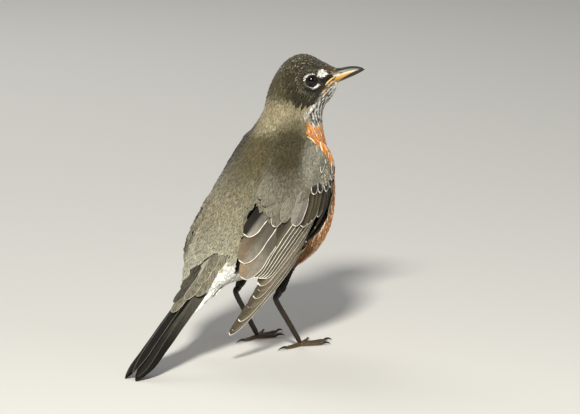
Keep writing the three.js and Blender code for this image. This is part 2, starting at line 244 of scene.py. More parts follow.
def on_tail(points):
    """The tail chart's along, across and lift of places."""
    x, z = points[..., 0] - TAIL_BASE[0], points[..., 2] - TAIL_BASE[2]
    along = -x * TAIL_COS - z * TAIL_SIN
    across = points[..., 1] + TAIL_SWAY * along / TAIL_LENGTH
    return along, across, z * TAIL_COS - x * TAIL_SIN + across**2 / TAIL_ARCH


# ---------- modelling by hand ----------


def deselect():
    if bpy.context.object and bpy.context.object.mode != "OBJECT":
        bpy.ops.object.mode_set(mode="OBJECT")
    bpy.ops.object.select_all(action="DESELECT")


def hold(piece):
    """Makes a piece the only selected one, and the active one."""
    deselect()
    piece.select_set(True)
    bpy.context.view_layer.objects.active = piece
    return piece


def apply_modifier(piece, kind, **settings):
    hold(piece)
    modifier = piece.modifiers.new(kind.title(), kind)
    for key, value in settings.items():
        setattr(modifier, key, value)
    bpy.ops.object.modifier_apply(modifier=modifier.name)
    return piece


def edit(piece, change):
    """Makes one change to the whole mesh of a piece, in edit mode."""
    hold(piece)
    bpy.ops.object.mode_set(mode="EDIT")
    bpy.ops.mesh.select_all(action="SELECT")
    change()
    bpy.ops.object.mode_set(mode="OBJECT")
    return piece


def add_shape(operator, name, **settings):
    """A new piece by one of the operators that add a plain shape."""
    deselect()
    operator(**settings)
    piece = bpy.context.object
    piece.name = piece.data.name = name
    return piece


def vertices_of(piece, what="co"):
    values = np.empty(len(piece.data.vertices) * 3, np.float32)
    piece.data.vertices.foreach_get(what, values)
    return values.reshape(-1, 3).astype(float)


def corners_of(piece):
    """The vertex at each corner of a piece's faces, and the first corner of each face."""
    corner = np.empty(len(piece.data.loops), np.int32)
    piece.data.loops.foreach_get("vertex_index", corner)
    start = np.empty(len(piece.data.polygons), np.int32)
    piece.data.polygons.foreach_get("loop_start", start)
    return corner, start


def set_bake_map(piece, uv):
    """The map that materials are baked on, from one place for each corner."""
    piece.data.uv_layers.new(name="OFBake").data.foreach_set("uv", uv.astype(np.float32).ravel())


def move_vertices(piece, places):
    piece.data.vertices.foreach_set("co", np.ascontiguousarray(places, np.float32).ravel())
    piece.data.update()
    return piece


def bird_places(piece):
    return vertices_of(piece) / MM - ORIGIN


def settle_places(piece, places):
    return move_vertices(piece, (places + ORIGIN) * MM)


def ball(name, segments, rings):
    """A unit ball, with each vertex's share of the way from pole to pole and its angle round."""
    add = bpy.ops.mesh.primitive_uv_sphere_add
    piece = add_shape(add, name, segments=segments, ring_count=rings, radius=1)
    at = vertices_of(piece)
    return piece, np.arccos(np.clip(-at[:, 2], -1, 1)) / np.pi, np.arctan2(at[:, 1], at[:, 0])


def outward(piece):
    return edit(piece, lambda: bpy.ops.mesh.normals_make_consistent(inside=False))


def curve_through(points, shares):
    """Catmull-Rom through points, at shares of the way."""
    points = np.asarray(points, float)
    ends = np.concatenate([2 * points[:1] - points[1:2], points, 2 * points[-1:] - points[-2:-1]])
    at = np.clip(np.asarray(shares, float), 0, 1) * (len(points) - 1)
    i = np.minimum(at.astype(int), len(points) - 2)
    t = (at - i)[..., None]
    a, b, c, d = (ends[i + k] for k in range(4))
    return 0.5 * (2 * b + (c - a) * t + (2 * a - 5 * b + 4 * c - d) * t**2 + (3 * b - a - 3 * c + d) * t**3)


def paint(piece, tint):
    """A colour for each vertex, or one for all of them."""
    rgba = np.ones((len(piece.data.vertices), 4), np.float32)
    rgba[:, :3] = tint
    piece.data.attributes.new("tint", "FLOAT_COLOR", "POINT").data.foreach_set("color", rgba.ravel())


def finish_piece(piece, material, nodes=(), angle=180):
    """Smooths a piece, gives it its finish, hangs it under the bird's root and hides the solids that it
    replaces.
    """
    hold(piece)
    bpy.ops.object.shade_smooth_by_angle(angle=math.radians(angle))
    piece.data.materials.clear()
    piece.data.materials.append(material)
    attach(piece, "root")
    if nodes:
        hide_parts(*nodes)


def complete(piece, places, tint, material, nodes=()):
    """Settles a closed piece at its places, paints it and finishes it."""
    paint(settle_places(piece, places), tint)
    finish_piece(outward(piece), material, nodes)


# ---------- finishes ----------


def linear(*colour):
    """A colour of 0 to 255 steps as linear light."""
    share = np.asarray(colour, float) / 255
    return np.where(share <= 0.04045, share / 12.92, ((share + 0.055) / 1.055) ** 2.4)


class Field:
    """A value in a node tree, which the usual signs reckon with."""

    def __init__(self, tree, socket):
        self.tree, self.socket = tree, socket

    def __add__(self, other):
        return reckon("ADD", self, other)

    def __sub__(self, other):
        return reckon("SUBTRACT", self, other)

    def __rsub__(self, other):
        return reckon("SUBTRACT", other, self)

    def __mul__(self, other):
        return reckon("MULTIPLY", self, other)


def add_node(tree, kind, inputs=None, **settings):
    made = tree.nodes.new(kind)
    for key, value in settings.items():
        setattr(made, key, value)
    for key, value in (inputs or {}).items():
        value = getattr(value, "socket", value)
        if isinstance(value, bpy.types.NodeSocket):
            tree.links.new(value, made.inputs[key])
        else:
            made.inputs[key].default_value = value
    return made


def field(tree, kind, inputs=None, output=0, **settings):
    return Field(tree, add_node(tree, kind, inputs, **settings).outputs[output])


def reckon(operation, *values):
    tree = next(value.tree for value in values if isinstance(value, Field))
    return field(tree, "ShaderNodeMath", dict(enumerate(values)), operation=operation)


def soft_step(value, low, high):
    inputs = {"Value": value, "From Min": low, "From Max": high}
    return field(value.tree, "ShaderNodeMapRange", inputs, interpolation_type="SMOOTHSTEP")


def times(colour, factor):
    return field(factor.tree, "ShaderNodeVectorMath", {0: colour, "Scale": factor}, operation="SCALE")


def mark(tree, name, output="Color"):
    """What a piece's vertices carry under a name."""
    return field(tree, "ShaderNodeAttribute", output=output, attribute_name=name)


def start_group(name, inputs, outputs):
    """A node group's tree and the numbers that it is given; a Color among its outputs is a colour."""
    tree = bpy.data.node_groups.new(name, "ShaderNodeTree")
    for label, value in inputs.items():
        tree.interface.new_socket(label, in_out="INPUT", socket_type="NodeSocketFloat").default_value = value
    for label in outputs:
        kind = "NodeSocketColor" if label == "Color" else "NodeSocketFloat"
        tree.interface.new_socket(label, in_out="OUTPUT", socket_type=kind)
    given = add_node(tree, "NodeGroupInput").outputs
    return tree, {label: Field(tree, given[label]) for label in inputs}


def mottle_group():
    """A slow unevenness over a surface: 1 in the middle, less and more by its amount."""
    tree, given = start_group("mottle", {"Scale": 200.0, "Amount": 0.2}, ("Factor", "Height"))
    place = field(tree, "ShaderNodeTexCoord", output="Object")
    noise_inputs = {"Vector": place, "Scale": given["Scale"], "Detail": 4.0}
    noise = field(tree, "ShaderNodeTexNoise", noise_inputs, "Fac")
    factor = (noise - 0.5) * given["Amount"] * 2.0 + 1.0
    add_node(tree, "NodeGroupOutput", {"Factor": factor, "Height": noise})
    return tree


def vane_group():
    """A feather's colour and relief from its own chart: barbs slanting off the shaft, and a rim."""
    inputs = {"Barbs": 5.0, "Streak": 0.25, "Shaft": 0.5, "Frayed": 0.5, "EdgeShadow": 0.0}
    tree, given = start_group("feather_vane", inputs, ("Color", "Height"))
    sockets = []
    for name in ("chart", "size"):
        sockets += add_node(tree, "ShaderNodeSeparateXYZ", {0: mark(tree, name, "Vector")}).outputs
    u, s, one_sided, half, length, number = (Field(tree, socket) for socket in sockets)
    off_shaft = reckon("ABSOLUTE", u)
    across, along = off_shaft * half, s * length
    drift = (along + across * 0.5) * 0.2 + reckon("SIGN", u)
    vector = field(tree, "ShaderNodeCombineXYZ", {0: across - along * 0.5, 1: drift, 2: number})
    noise_inputs = {"Vector": vector, "Scale": given["Barbs"], "Detail": 1.5}
    noise = field(tree, "ShaderNodeTexNoise", noise_inputs, "Fac")
    barbs = soft_step(noise, 0.36, 0.64) - 0.5
    shaft = soft_step(across, 0.3, 0.08)
    # The rim runs round the tip and along both edges, or with one_sided at 1 or -1 along that one alone.
    nearest_edge = off_shaft * (1.0 - reckon("ABSOLUTE", one_sided)) + u * one_sided
    inside = reckon("MINIMUM", (1.0 - nearest_edge) * half, (1.0 - s) * length)
    # The outermost band, as wide as this input, is darkened to a fifth: a painted shadow at the vane's edge.
    edge_shadow = soft_step(inside, given["EdgeShadow"] * 0.5 - 0.05, given["EdgeShadow"]) * 0.8 + 0.2
    light = (barbs * given["Streak"] * 2.0 + 1.0 - shaft * given["Shaft"]) * edge_shadow
    rim = mark(tree, "rim", "Alpha")
    body_share = soft_step(inside + barbs * given["Frayed"], rim, rim * (given["EdgeShadow"] + 0.4) - 0.02)
    colours = {0: body_share, 6: mark(tree, "tint"), 7: mark(tree, "rim")}
    body = field(tree, "ShaderNodeMix", colours, 2, data_type="RGBA")
    add_node(tree, "NodeGroupOutput", {"Color": times(body, light), "Height": noise + shaft * 1.5})
    return tree


MOTTLE, VANE = mottle_group(), vane_group()
RELIEF = 0.0002  # how deep the finishes' relief is, in metres


def new_material(name, roughness, specular, **fixed):
    """A Principled material with its constant values set on its own sockets."""
    material = bpy.data.materials.new(name)
    material.use_nodes = True
    tree = material.node_tree
    inputs = tree.nodes["Principled BSDF"].inputs
    for key, value in {"Roughness": roughness, "Specular IOR Level": specular, **fixed}.items():
        inputs[key.replace("_", " ")].default_value = value
    return material, tree, inputs


def new_finish(name, roughness, specular, scale, amount, bump, vane=None, **fixed):
    """A material in the colours that a piece carries, made uneven by an amount at a scale. With the numbers
    of a vane the colours and the relief are those of feathers, each by its own chart."""
    material, tree, inputs = new_material(name, roughness, specular, **fixed)
    slow = add_node(tree, "ShaderNodeGroup", {"Scale": scale, "Amount": amount}, node_tree=MOTTLE)
    if vane:
        feather = add_node(tree, "ShaderNodeGroup", vane, node_tree=VANE)
        colour, height = (feather.outputs[key] for key in ("Color", "Height"))
    else:
        colour, height = mark(tree, "tint"), slow.outputs["Height"]
    shaded = times(colour, Field(tree, slow.outputs["Factor"]))
    tree.links.new(shaded.socket, inputs["Base Color"])
    bump_inputs = {"Height": height, "Strength": bump, "Distance": RELIEF}
    relief = field(tree, "ShaderNodeBump", bump_inputs, "Normal")
    tree.links.new(relief.socket, inputs["Normal"])
    return material


# ---------- the skin ----------

FLESH = ("trunk", "neck", "head", "thigh_left", "thigh_right", "wing_left_coverts", "wing_right_coverts")
BILL = ("bill_upper", "bill_lower")
INNER_QUILLS = ("wing_left_secondaries", "wing_right_secondaries")
SWELL = 0.25  # each solid is swollen by this, so that the skin closes over the thin cuts between them
CLOSING = 2.6  # grooves narrower than twice this are closed in the form that the plumage is draped over
SKIN_GRAIN = 1.0  # the skin's mesh size
TUCK = 2.2  # how much farther the skin is drawn in under a wing's bare vanes


def joined_solids(name, nodes, swell, rounds):
    """One closed surface round several of the bird's solids, swollen a little and smoothed in rounds."""
    copies = []
    for node in nodes:
        copy = bpy.data.objects.new("solid_" + node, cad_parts[node].data.copy())
        bpy.context.scene.collection.objects.link(copy)
        edit(copy, lambda: bpy.ops.mesh.remove_doubles(threshold=0.00001))
        apply_modifier(copy, "DISPLACE", strength=swell * MM, mid_level=0)
        copies.append(copy)
    joined = hold(copies[0])
    for copy in copies:
        copy.select_set(True)
    bpy.ops.object.join()
    joined.name = joined.data.name = name
    apply_modifier(joined, "REMESH", mode="VOXEL", voxel_size=SKIN_GRAIN * MM)
    return apply_modifier(joined, "SMOOTH", factor=0.5, iterations=rounds)


def thigh_share(points):
    """1 on the feathered legs below the belly."""
    share = np.zeros(points.shape[:-1])
    for side in SIDES.values():
        along, off = from_axis(points, leg_place(side, HEEL), THIGH_WAY)
        share = np.maximum(share, ramp(12, 9, off) * ramp(27, 20, along))
    return share


def pad_share(points):
    """1 on the shoulder pads of both wings."""
    along, across, lift = on_own_wing(points)
    beyond = np.hypot((along - PAD["along"]) / PAD["length"], (across - PAD["across"]) / PAD["width"])
    return ramp(1.05, 0.9, beyond) * ramp(4, 2, np.abs(lift - pad_top(along, across) + 1))


def wing_front(along):
    """Where across its chart the folded wing's front edge runs."""
    at = [0, 5, 10, 15, 31, 52, 61, 76, 95, 123]
    return np.interp(along, at, [2, -11, -17, -26, -33, -27, -23, -17.5, -11, -4])


def wing_level(along, across):
    """The lift of what the soft feathers and coverts lie on: the shoulder pad, or the quills beyond it."""
    quills = np.interp(across, [-25, -12, -2, 10, 25], [-2.4, -1.0, 0.4, 2.0, 3.2])
    return np.maximum(pad_top(along, across), quills * ramp(20, 34, along) - 3 * ramp(34, 20, along))


def wing_share(points):
    """1 over the outer side of the folded wings."""
    along, across, lift = on_own_wing(points)
    near = ramp(5, 2.5, np.abs(lift - wing_level(along, across)))
    return near * ramp(-2, 2, across - wing_front(along)) * ramp(36, 29, across) * ramp(-3, 4, along)


def covered(points):
    """1 where a folded wing lies over the body or its vanes stand bare."""
    along, across, lift = on_own_wing(points)
    at = [30, 45, 65, 72, 76, 84, 90, 95, 99, 104, 126]
    back = np.interp(along, at, [24, 28.5, 30, 29, 26, 24.5, 22, 19, 15, 7, 5])
    inside = ramp(0, 3, across - wing_front(along)) * ramp(0.5, -2.5, across - back) * ramp(126, 122, along)
    above = ramp(-16, -12, lift) * ramp(4.5, 3.5, lift - wing_level(along, across))
    return inside * above * ramp(2, 6, along)


def soft_end(left, across):
    """How far along the wing the soft feathers reach; on the left the back's fall over the tertials."""
    at = [-25, -17, -14, -8, -3, 2.5, 6, 9, 13, 18, 22, 28, 34]
    right_end = np.interp(across, at, [6, 9, 13, 21, 27, 37, 46, 57, 60, 58, 54, 53, 51])
    left_end = np.interp(across, at, [6, 9, 13, 21, 27, 37, 50, 66, 84, 92, 98, 103, 106])
    return np.where(left, left_end, right_end)


def rump_end(across):
    """How far along the tail the soft feathers' tips reach on its upper side."""
    return np.interp(across, [-16, -11, -3.5, 1, 7.5, 16], [-3, -2, -0.3, 3.4, 9, 15])


def coat_depth(points):
    """How deep the plumage stands on the skin."""
    straight = straightened(points)
    run = along_spine(straight)[0]
    depth = np.interp(run, [0, 12, 30, 45, 75, 110, 190, 207], [0.35, 0.5, 0.8, 1.1, 1.7, 2.0, 1.8, 1.0])
    pad = pad_share(points)
    depth = mix(mix(depth, 2.2, wing_share(points)), 1.1, pad)
    return mix(depth, np.interp(points[..., 2], [33, 48], [0.35, 1.2]), thigh_share(points))


def eye_frame(side):
    """The eyeball's middle and the way it looks, on the turned head."""
    middle = head_place(EYE[0], side * EYE[1], EYE[2])
    look = unit(np.array([0.17, side * 1.0, 0.06]))
    return middle, swing(look, HEAD_TURN, 0)


def sink_round_eyes(places):
    """Draws the skin down to the lids, and behind the eyeball inside them."""
    rim = math.sqrt(EYE_RADIUS**2 - LID_RADIUS**2) - 0.15
    for side in SIDES.values():
        middle, look = eye_frame(side)
        height, off = from_axis(places, middle, look)
        near = (height > -1) & (off < 9)
        wanted = mix(rim, height, ramp(LID_RADIUS, 8.5, off))
        wanted = mix(wanted, 0.5, ramp(LID_RADIUS - 0.1, LID_RADIUS - 0.9, off))
        places[near] += ((wanted - height)[:, None] * look)[near]
    return places


def tucked(places):
    """1 under a folded wing's bare vanes, where the skin is drawn in and painted black as shade."""
    along, across, _ = on_own_wing(places)
    return covered(places) * ramp(-4, 4, along - soft_end(places[..., 1] > 0, across))


def make_skin(material):
    skin = joined_solids("skin", FLESH, SWELL, rounds=14)
    places, normals = bird_places(skin), vertices_of(skin, "normal")
    places = places - normals * (coat_depth(places) + SWELL + TUCK * tucked(places))[:, None]
    settle_places(skin, sink_round_eyes(places))
    apply_modifier(skin, "SMOOTH", factor=0.5, iterations=2)
    places = bird_places(skin)
    # Under the wing's bare vanes the skin is painted black: painted shade in the hollow there.
    paint(skin, mix(feather_colours(places, False), BLACK, tucked(places)[:, None]))
    bake_map(skin, skin_unwrap(places))
    finish_piece(skin, material, FLESH)


def make_form():
    """What the plumage is draped over: the skin and the wings' inner quills, the grooves between closed."""
    form = joined_solids("dress_form", FLESH + INNER_QUILLS + BILL, CLOSING, rounds=16)
    places, normals = bird_places(form), vertices_of(form, "normal")
    over_quills = wing_share(places) * (1 - pad_share(places))
    depth = mix(coat_depth(places), 0.2, over_quills)
    depth = depth + np.interp(places[:, 2], [36, 46, 60], [0.2, 1.6, 2.4]) * thigh_share(places)
    places = places - normals * (depth + CLOSING)[:, None]
    settle_places(form, sink_round_eyes(places))
    return apply_modifier(form, "SMOOTH", factor=0.5, iterations=4)


def skin_unwrap(places):
    """The skin slit along the belly and laid flat: round the spine across, along it upwards."""
    run, turn, _ = along_spine(straightened(places))
    return np.stack([turn / 360 + 0.5, run / SPINE_RUN[-1]], -1) * 0.98 + 0.01


def bake_map(piece, at):
    """The piece's bake map from one place for each vertex; a face over the slit stays on one side of it."""
    corner, start = corners_of(piece)
    face = np.repeat(np.arange(len(start)), np.diff(np.r_[start, len(corner)]))
    uv = at[corner]
    first = uv[start][face, 0]
    uv[:, 0] = np.where(np.abs(uv[:, 0] - first) > 0.5, np.where(first > 0.5, 0.995, 0.005), uv[:, 0])
    set_bake_map(piece, uv)


# ---------- the markings ----------

CAP = linear(45, 41, 28)
CAP_FRINGE = linear(162, 155, 133)
FOREHEAD = linear(66, 50, 28)
MANTLE = linear(80, 73, 50)
NAPE = linear(136, 127, 101)
LOWER_BACK = linear(134, 128, 107)
RUMP = linear(156, 154, 136)
BREAST = linear(202, 124, 48)
BELLY = linear(210, 150, 84)
WHITE = linear(226, 224, 216)
BLACK = linear(24, 21, 16)
# The thigh feathers' dark colour deepened to near black as painted shade under the belly.
THIGH = linear(34, 30, 24)
SHOULDER = linear(116, 114, 102)
OLIVE = linear(59, 53, 33)
SCAPULAR = linear(106, 102, 88)
GAPE_SKIN = linear(208, 144, 62)


def patch(at, middle, radii):
    """1 inside an ellipsoid about a straight place on either side, 0 outside, soft at the rim."""
    return ramp(1.2, 0.8, np.linalg.norm((on_left(at) - middle) / radii, axis=-1))


def ripple(at):
    """A small unevenness from place to place, within -1..1."""
    x, y, z = np.moveaxis(at, -1, 0)
    coarse = np.sin(1.9 * x + 1.3 * z) * np.sin(2.3 * y - 1.7 * z)
    return 0.6 * coarse + 0.4 * np.sin(4.1 * x - 3.3 * y + 2.9 * z)


def hood_share(straight):
    """1 on the dark cap, lores and cheeks: all above a line from the hindneck under the cheek to the gape."""
    x, _, z = np.moveaxis(straight, -1, 0)
    at = [0, 10, 18, 22, 28, 34, 40, 44, 52]
    line = np.interp(x, at, [161, 159, 156, 153.5, 153, 158.5, 167, 171.5, 172])
    soft = np.interp(x, [4, 10, 16, 24, 32], [7, 5, 2.5, 2, 1.5])
    return ramp(-1, 1, (z - line + 1.2 * ripple(straight)) / soft)


def throat_share(straight):
    """1 on the streaked throat, from the chin down to the breast."""
    x, _, z = np.moveaxis(straight, -1, 0)
    back = np.interp(z, [138, 142, 150, 158, 162], [24.5, 25, 26, 30, 33]) - 1.5 * ripple(straight)
    return ramp(-2, 2, x - back) * ramp(139, 144, z) * (1 - hood_share(straight))


def round_eye(straight, start, end, inner, outer):
    """1 on an arc round the eye, between two angles up from ahead; outer lists its radii over the arc."""
    x, y, z = np.moveaxis(straight, -1, 0)
    radius = np.hypot(x - EYE[0], z - EYE[2])
    angle = np.degrees(np.arctan2(z - EYE[2], x - EYE[0])) % 360
    outer = np.interp(angle, np.linspace(start, end, len(outer)), outer)
    ends = ramp(start - 6, start + 4, angle) * ramp(end + 6, end - 4, angle)
    ring = ramp(inner - 0.25, inner + 0.25, radius) * ramp(outer + 0.35, outer - 0.35, radius)
    return ends * ring * (np.abs(y) > 6)


def feather_colours(places, rims):
    """The colour of the plumage, or of its feathers' rims, at places on the bird."""
    straight = straightened(places)
    x, _, z = np.moveaxis(straight, -1, 0)
    run, turn, _ = along_spine(straight)
    round_back = np.abs(turn)
    hood, throat = hood_share(straight), throat_share(straight)
    orange_edge = np.interp(run, [50, 53, 59, 66, 90, 130, 160], [102, 95, 83, 80, 92, 97, 100])
    along, across, _ = on_own_wing(places)
    wing = wing_share(places)
    orange = ramp(-6, 6, round_back - orange_edge + 5 * ripple(straight)) * ramp(49, 53, run)
    orange = orange * ramp(0.65, 0.35, wing)
    # Over the upper back's left side the feathers' rims are painted dark, as the shadows in the slits between
    # them.
    slit_shadow_area = ramp(0, 10, places[..., 1]) * ramp(60, 67, run) * ramp(125, 105, run) * ramp(105, 90, round_back)
    colours = np.broadcast_to(MANTLE, places.shape).copy()

    def lay(colour, share):
        nonlocal colours
        colours = mix(colours, colour, share[..., None])

    lay(LOWER_BACK, ramp(60, 75, run) * ramp(122, 86, places[..., 2]))
    lay(RUMP, ramp(150, 180, run))
    lay(NAPE, ramp(68, 55, run))
    lay(SCAPULAR, wing)
    lay(OLIVE, 0.95 * ramp(1.4, 0.4, np.hypot((along - 11) / 24, (across - 22) / 15)) * (round_back < 120))
    lay(SHOULDER * 1.15, (1 - slit_shadow_area) * wing * ramp(1.2, 0.8, np.hypot((along - 6) / 22, (across + 5) / 17)))
    streaked = wing * ramp(1.3, 0.7, np.hypot((along - 8) / 13, (across + 10) / 9))
    lay(SHOULDER * 0.75, streaked)
    colours = colours * (1 + 0.05 * slit_shadow_area)[..., None]
    lay(BREAST * [1.0, 1.0, 0.75], orange)
    lay(BELLY, orange * ramp(95, 130, run))
    # Painted shade on the flank just below the folded wing's front edge, darkening the orange there.
    low_flank = wing_front(along) + np.interp(along, [50, 58, 65, 80], [-10, -17, -23, -27])
    under_wing_shade = ramp(0, 6, across - low_flank) * ramp(47, 58, along) * ramp(108, 94, along)
    lay(BREAST * 0.15, 0.9 * orange * under_wing_shade)
    vent_edge = np.where(places[..., 1] > 0, 96, 70)
    lay(WHITE, ramp(-2, 3, round_back - vent_edge) * ramp(160, 167, run))
    lay(WHITE, ramp(110, 140, round_back) * ramp(140, 156, run))
    lay(CAP, hood)
    lay(OLIVE * 1.5, 0.6 * hood * ramp(22, 8, x))
    lay(FOREHEAD, hood * patch(straight, (44, 0, 179), (7, 8, 4)))
    lay(WHITE, throat)
    angle = np.radians(turn)
    streak = np.sin(34 * angle + 0.35 * run) + 0.5 * np.sin(71 * angle + run)
    streak = streak + 0.5 * ripple(straight)
    most = -0.3 - 0.45 * ramp(157, 150, z) * ramp(141, 144, z)
    lay(BLACK, 0.9 * throat * ramp(most, most + 0.6, streak) * ramp(47, 43, x))
    collar = ramp(-7, 0, x - np.interp(z, [140, 158], [22, 27])) * (1 - hood) * (1 - throat)
    lay(WHITE * 0.7, 0.55 * collar * ramp(141, 146, z) * ramp(-0.4, 0.8, streak))
    strands = ramp(-0.5, 0.3, np.sin(4.2 * x - 0.8 * z))
    lay(GAPE_SKIN, 0.6 * strands * patch(straight, (39.8, 8.5, 165.8), (2.4, 4, 2.6)))
    lay(BLACK, patch(straight, (39.8, 9, 173.2), (4.8, 5, 2.8)))
    # Dark arcs round the white eye-ring: dark feathering, and below the eye a broader band that is painted
    # shadow as well.
    lay(BLACK, 0.9 * round_eye(straight, 68, 176, 4.8, [5.5, 5.9, 6.3, 6.2]))
    lay(BLACK, 0.9 * round_eye(straight, 205, 335, 4.6, [5.8, 7.0, 7.8, 7.0]))
    torn = straight + 0.45 * ripple(2.3 * straight)[..., None]
    lay(WHITE, patch(torn, (37.0, 9, 176.7), (2.5, 4.5, 2.5)))
    lay(WHITE, patch(torn, (39.2, 9, 176.5), (2.0, 4.5, 1.1)))
    lay(WHITE, round_eye(straight, 64, 178, 4.0, [4.7, 4.8, 5.0, 5.3, 5.2]))
    lay(WHITE, round_eye(straight, 198, 334, 4.0, [5.1, 5.2, 5.15, 5.4, 5.8]))
    # The thigh feathers are painted near black: their dark colour and painted shade under the belly.
    lay(THIGH, thigh_share(places))
    if rims:
        # Dark rims on the upper back's left side: painted shadow slits between the feathers.
        strength = mix(mix(2.1, 1.14, ramp(85, 130, run)), 1.6, wing) - 1.3 * slit_shadow_area + 2.4 * streaked
        warm = mix(np.array([1.04, 0.99, 0.86]), 1, (0.7 * ramp(100, 130, run))[..., None])
        pale = colours * (strength[..., None] * warm)
        marked = (colours.mean(-1) > 0.4) | (colours.mean(-1) < 0.012)
        fringe = hood * ~marked
        soft_fringe = mix(0.55, 1.05, ramp(166, 178, z))[..., None]
        colours = mix(pale, CAP_FRINGE * soft_fringe, fringe[..., None])
        front = ramp(51, 60, run) * (1 - 0.5 * ramp(140, 165, round_back))
        front = np.maximum(front, ramp(125, 140, round_back) * ramp(60, 66, run))
        lay(WHITE, 0.7 * orange * (1 - under_wing_shade) * front)
        # The thigh feathers' rims, near black too: painted shade under the belly.
        lay(THIGH * 1.3, thigh_share(places))
    return np.clip(colours, 0, 0.9)


def rim_widths(places):
    """How broad a fringe each feather has, in millimetres."""
    straight = straightened(places)
    run, turn, _ = along_spine(straight)
    width = mix(0.55, 0.6, wing_share(places))
    width = mix(width, mix(1.05, 1.2, ramp(90, 120, run)), ramp(80, 95, np.abs(turn)) * ramp(50, 58, run))
    gap = feather_gap(places)
    head = np.where(np.isfinite(gap), gap, 0.6) * mix(0.2, 0.5, ramp(170, 184, straight[..., 2]))
    return mix(width, head, ramp(47, 43, run))


# ---------- contour feathers ----------


def flat_grid(columns, rows):
    add = bpy.ops.mesh.primitive_grid_add
    return add_shape(add, "pattern", x_subdivisions=columns, y_subdivisions=rows, size=2)


TIP_ROUND = 0.3  # how far a feather's corners lie behind its tip, as a share of its length


def feather_pattern(columns, rows, barb_share):
    """One flat feather of unit size: x across, y from the root 0 to the tip 1, z through it."""
    piece = flat_grid(columns, rows)
    bpy.ops.object.mode_set(mode="EDIT")
    bpy.ops.mesh.select_mode(type="EDGE")
    bpy.ops.mesh.select_all(action="DESELECT")
    bpy.ops.object.mode_set(mode="OBJECT")
    at = vertices_of(piece)
    for edge in piece.data.edges:
        edge.select = all(at[v][1] > 0.99 for v in edge.vertices)
    bpy.ops.object.mode_set(mode="EDIT")
    bpy.ops.mesh.extrude_edges_indiv()
    bpy.ops.transform.translate(value=(0, 1, 0))
    bpy.ops.mesh.merge(type="COLLAPSE")
    bpy.ops.object.mode_set(mode="OBJECT")
    at = vertices_of(piece)
    flat, v = at[:, 0], (at[:, 1] + 1) / 2 * (1 - barb_share)
    barb = at[:, 1] > 1.5
    side = mix(0.35, 1, ramp(0, 0.45, v)) * np.sqrt(np.clip(1 - (np.clip(v - 0.45, 0, 1) / 0.85) ** 2, 0, 1))
    side = np.where(barb, 0.82, side)
    tip = 1 - TIP_ROUND * flat**2
    v = np.where(barb, tip, v - barb_share * TIP_ROUND * flat**2 * ramp(0.3, 1 - barb_share, v))
    move_vertices(piece, np.stack([flat * side, v, np.zeros(len(v))], -1))
    apply_modifier(piece, "SOLIDIFY", thickness=1, offset=0)
    outward(piece)
    pattern = read_pattern(piece)
    count = len(pattern["at"])
    return {**pattern, "flat": np.resize(flat, count), "side": np.resize(side, count)}


def read_pattern(piece):
    """A pattern's vertices and faces as arrays; the piece itself is taken away."""
    corner, start = corners_of(piece)
    pattern = {"at": vertices_of(piece), "corner": corner, "start": start}
    bpy.data.objects.remove(piece)
    return pattern


def many(name, pattern, places, marks):
    """One mesh of many copies of a pattern, with places and marks for each vertex of each copy."""
    copies, count = places.shape[:2]
    mesh = bpy.data.meshes.new(name)
    corner, start = pattern["corner"], pattern["start"]
    mesh.vertices.add(copies * count)
    mesh.vertices.foreach_set("co", ((places + ORIGIN) * MM).astype(np.float32).ravel())
    corners = corner[None] + (np.arange(copies) * count)[:, None]
    mesh.loops.add(corners.size)
    mesh.loops.foreach_set("vertex_index", corners.astype(np.int32).ravel())
    starts = start[None] + (np.arange(copies) * len(corner))[:, None]
    mesh.polygons.add(starts.size)
    mesh.polygons.foreach_set("loop_start", starts.astype(np.int32).ravel())
    mesh.update(calc_edges=True)
    piece = bpy.data.objects.new(name, mesh)
    bpy.context.scene.collection.objects.link(piece)
    for label, values in marks.items():
        width = values.shape[-1]
        kind = {3: "FLOAT_VECTOR", 4: "FLOAT_COLOR"}[width]
        layer = mesh.attributes.new(label, kind, "POINT")
        layer.data.foreach_set("vector" if width == 3 else "color", values.astype(np.float32).ravel())
    return piece


def spread(values, count):
    """A row for each feather, given to each of its vertices."""
    return np.repeat(values[:, None], count, axis=1)


def columns_of(*values):
    return np.stack(np.broadcast_arrays(*values), -1)


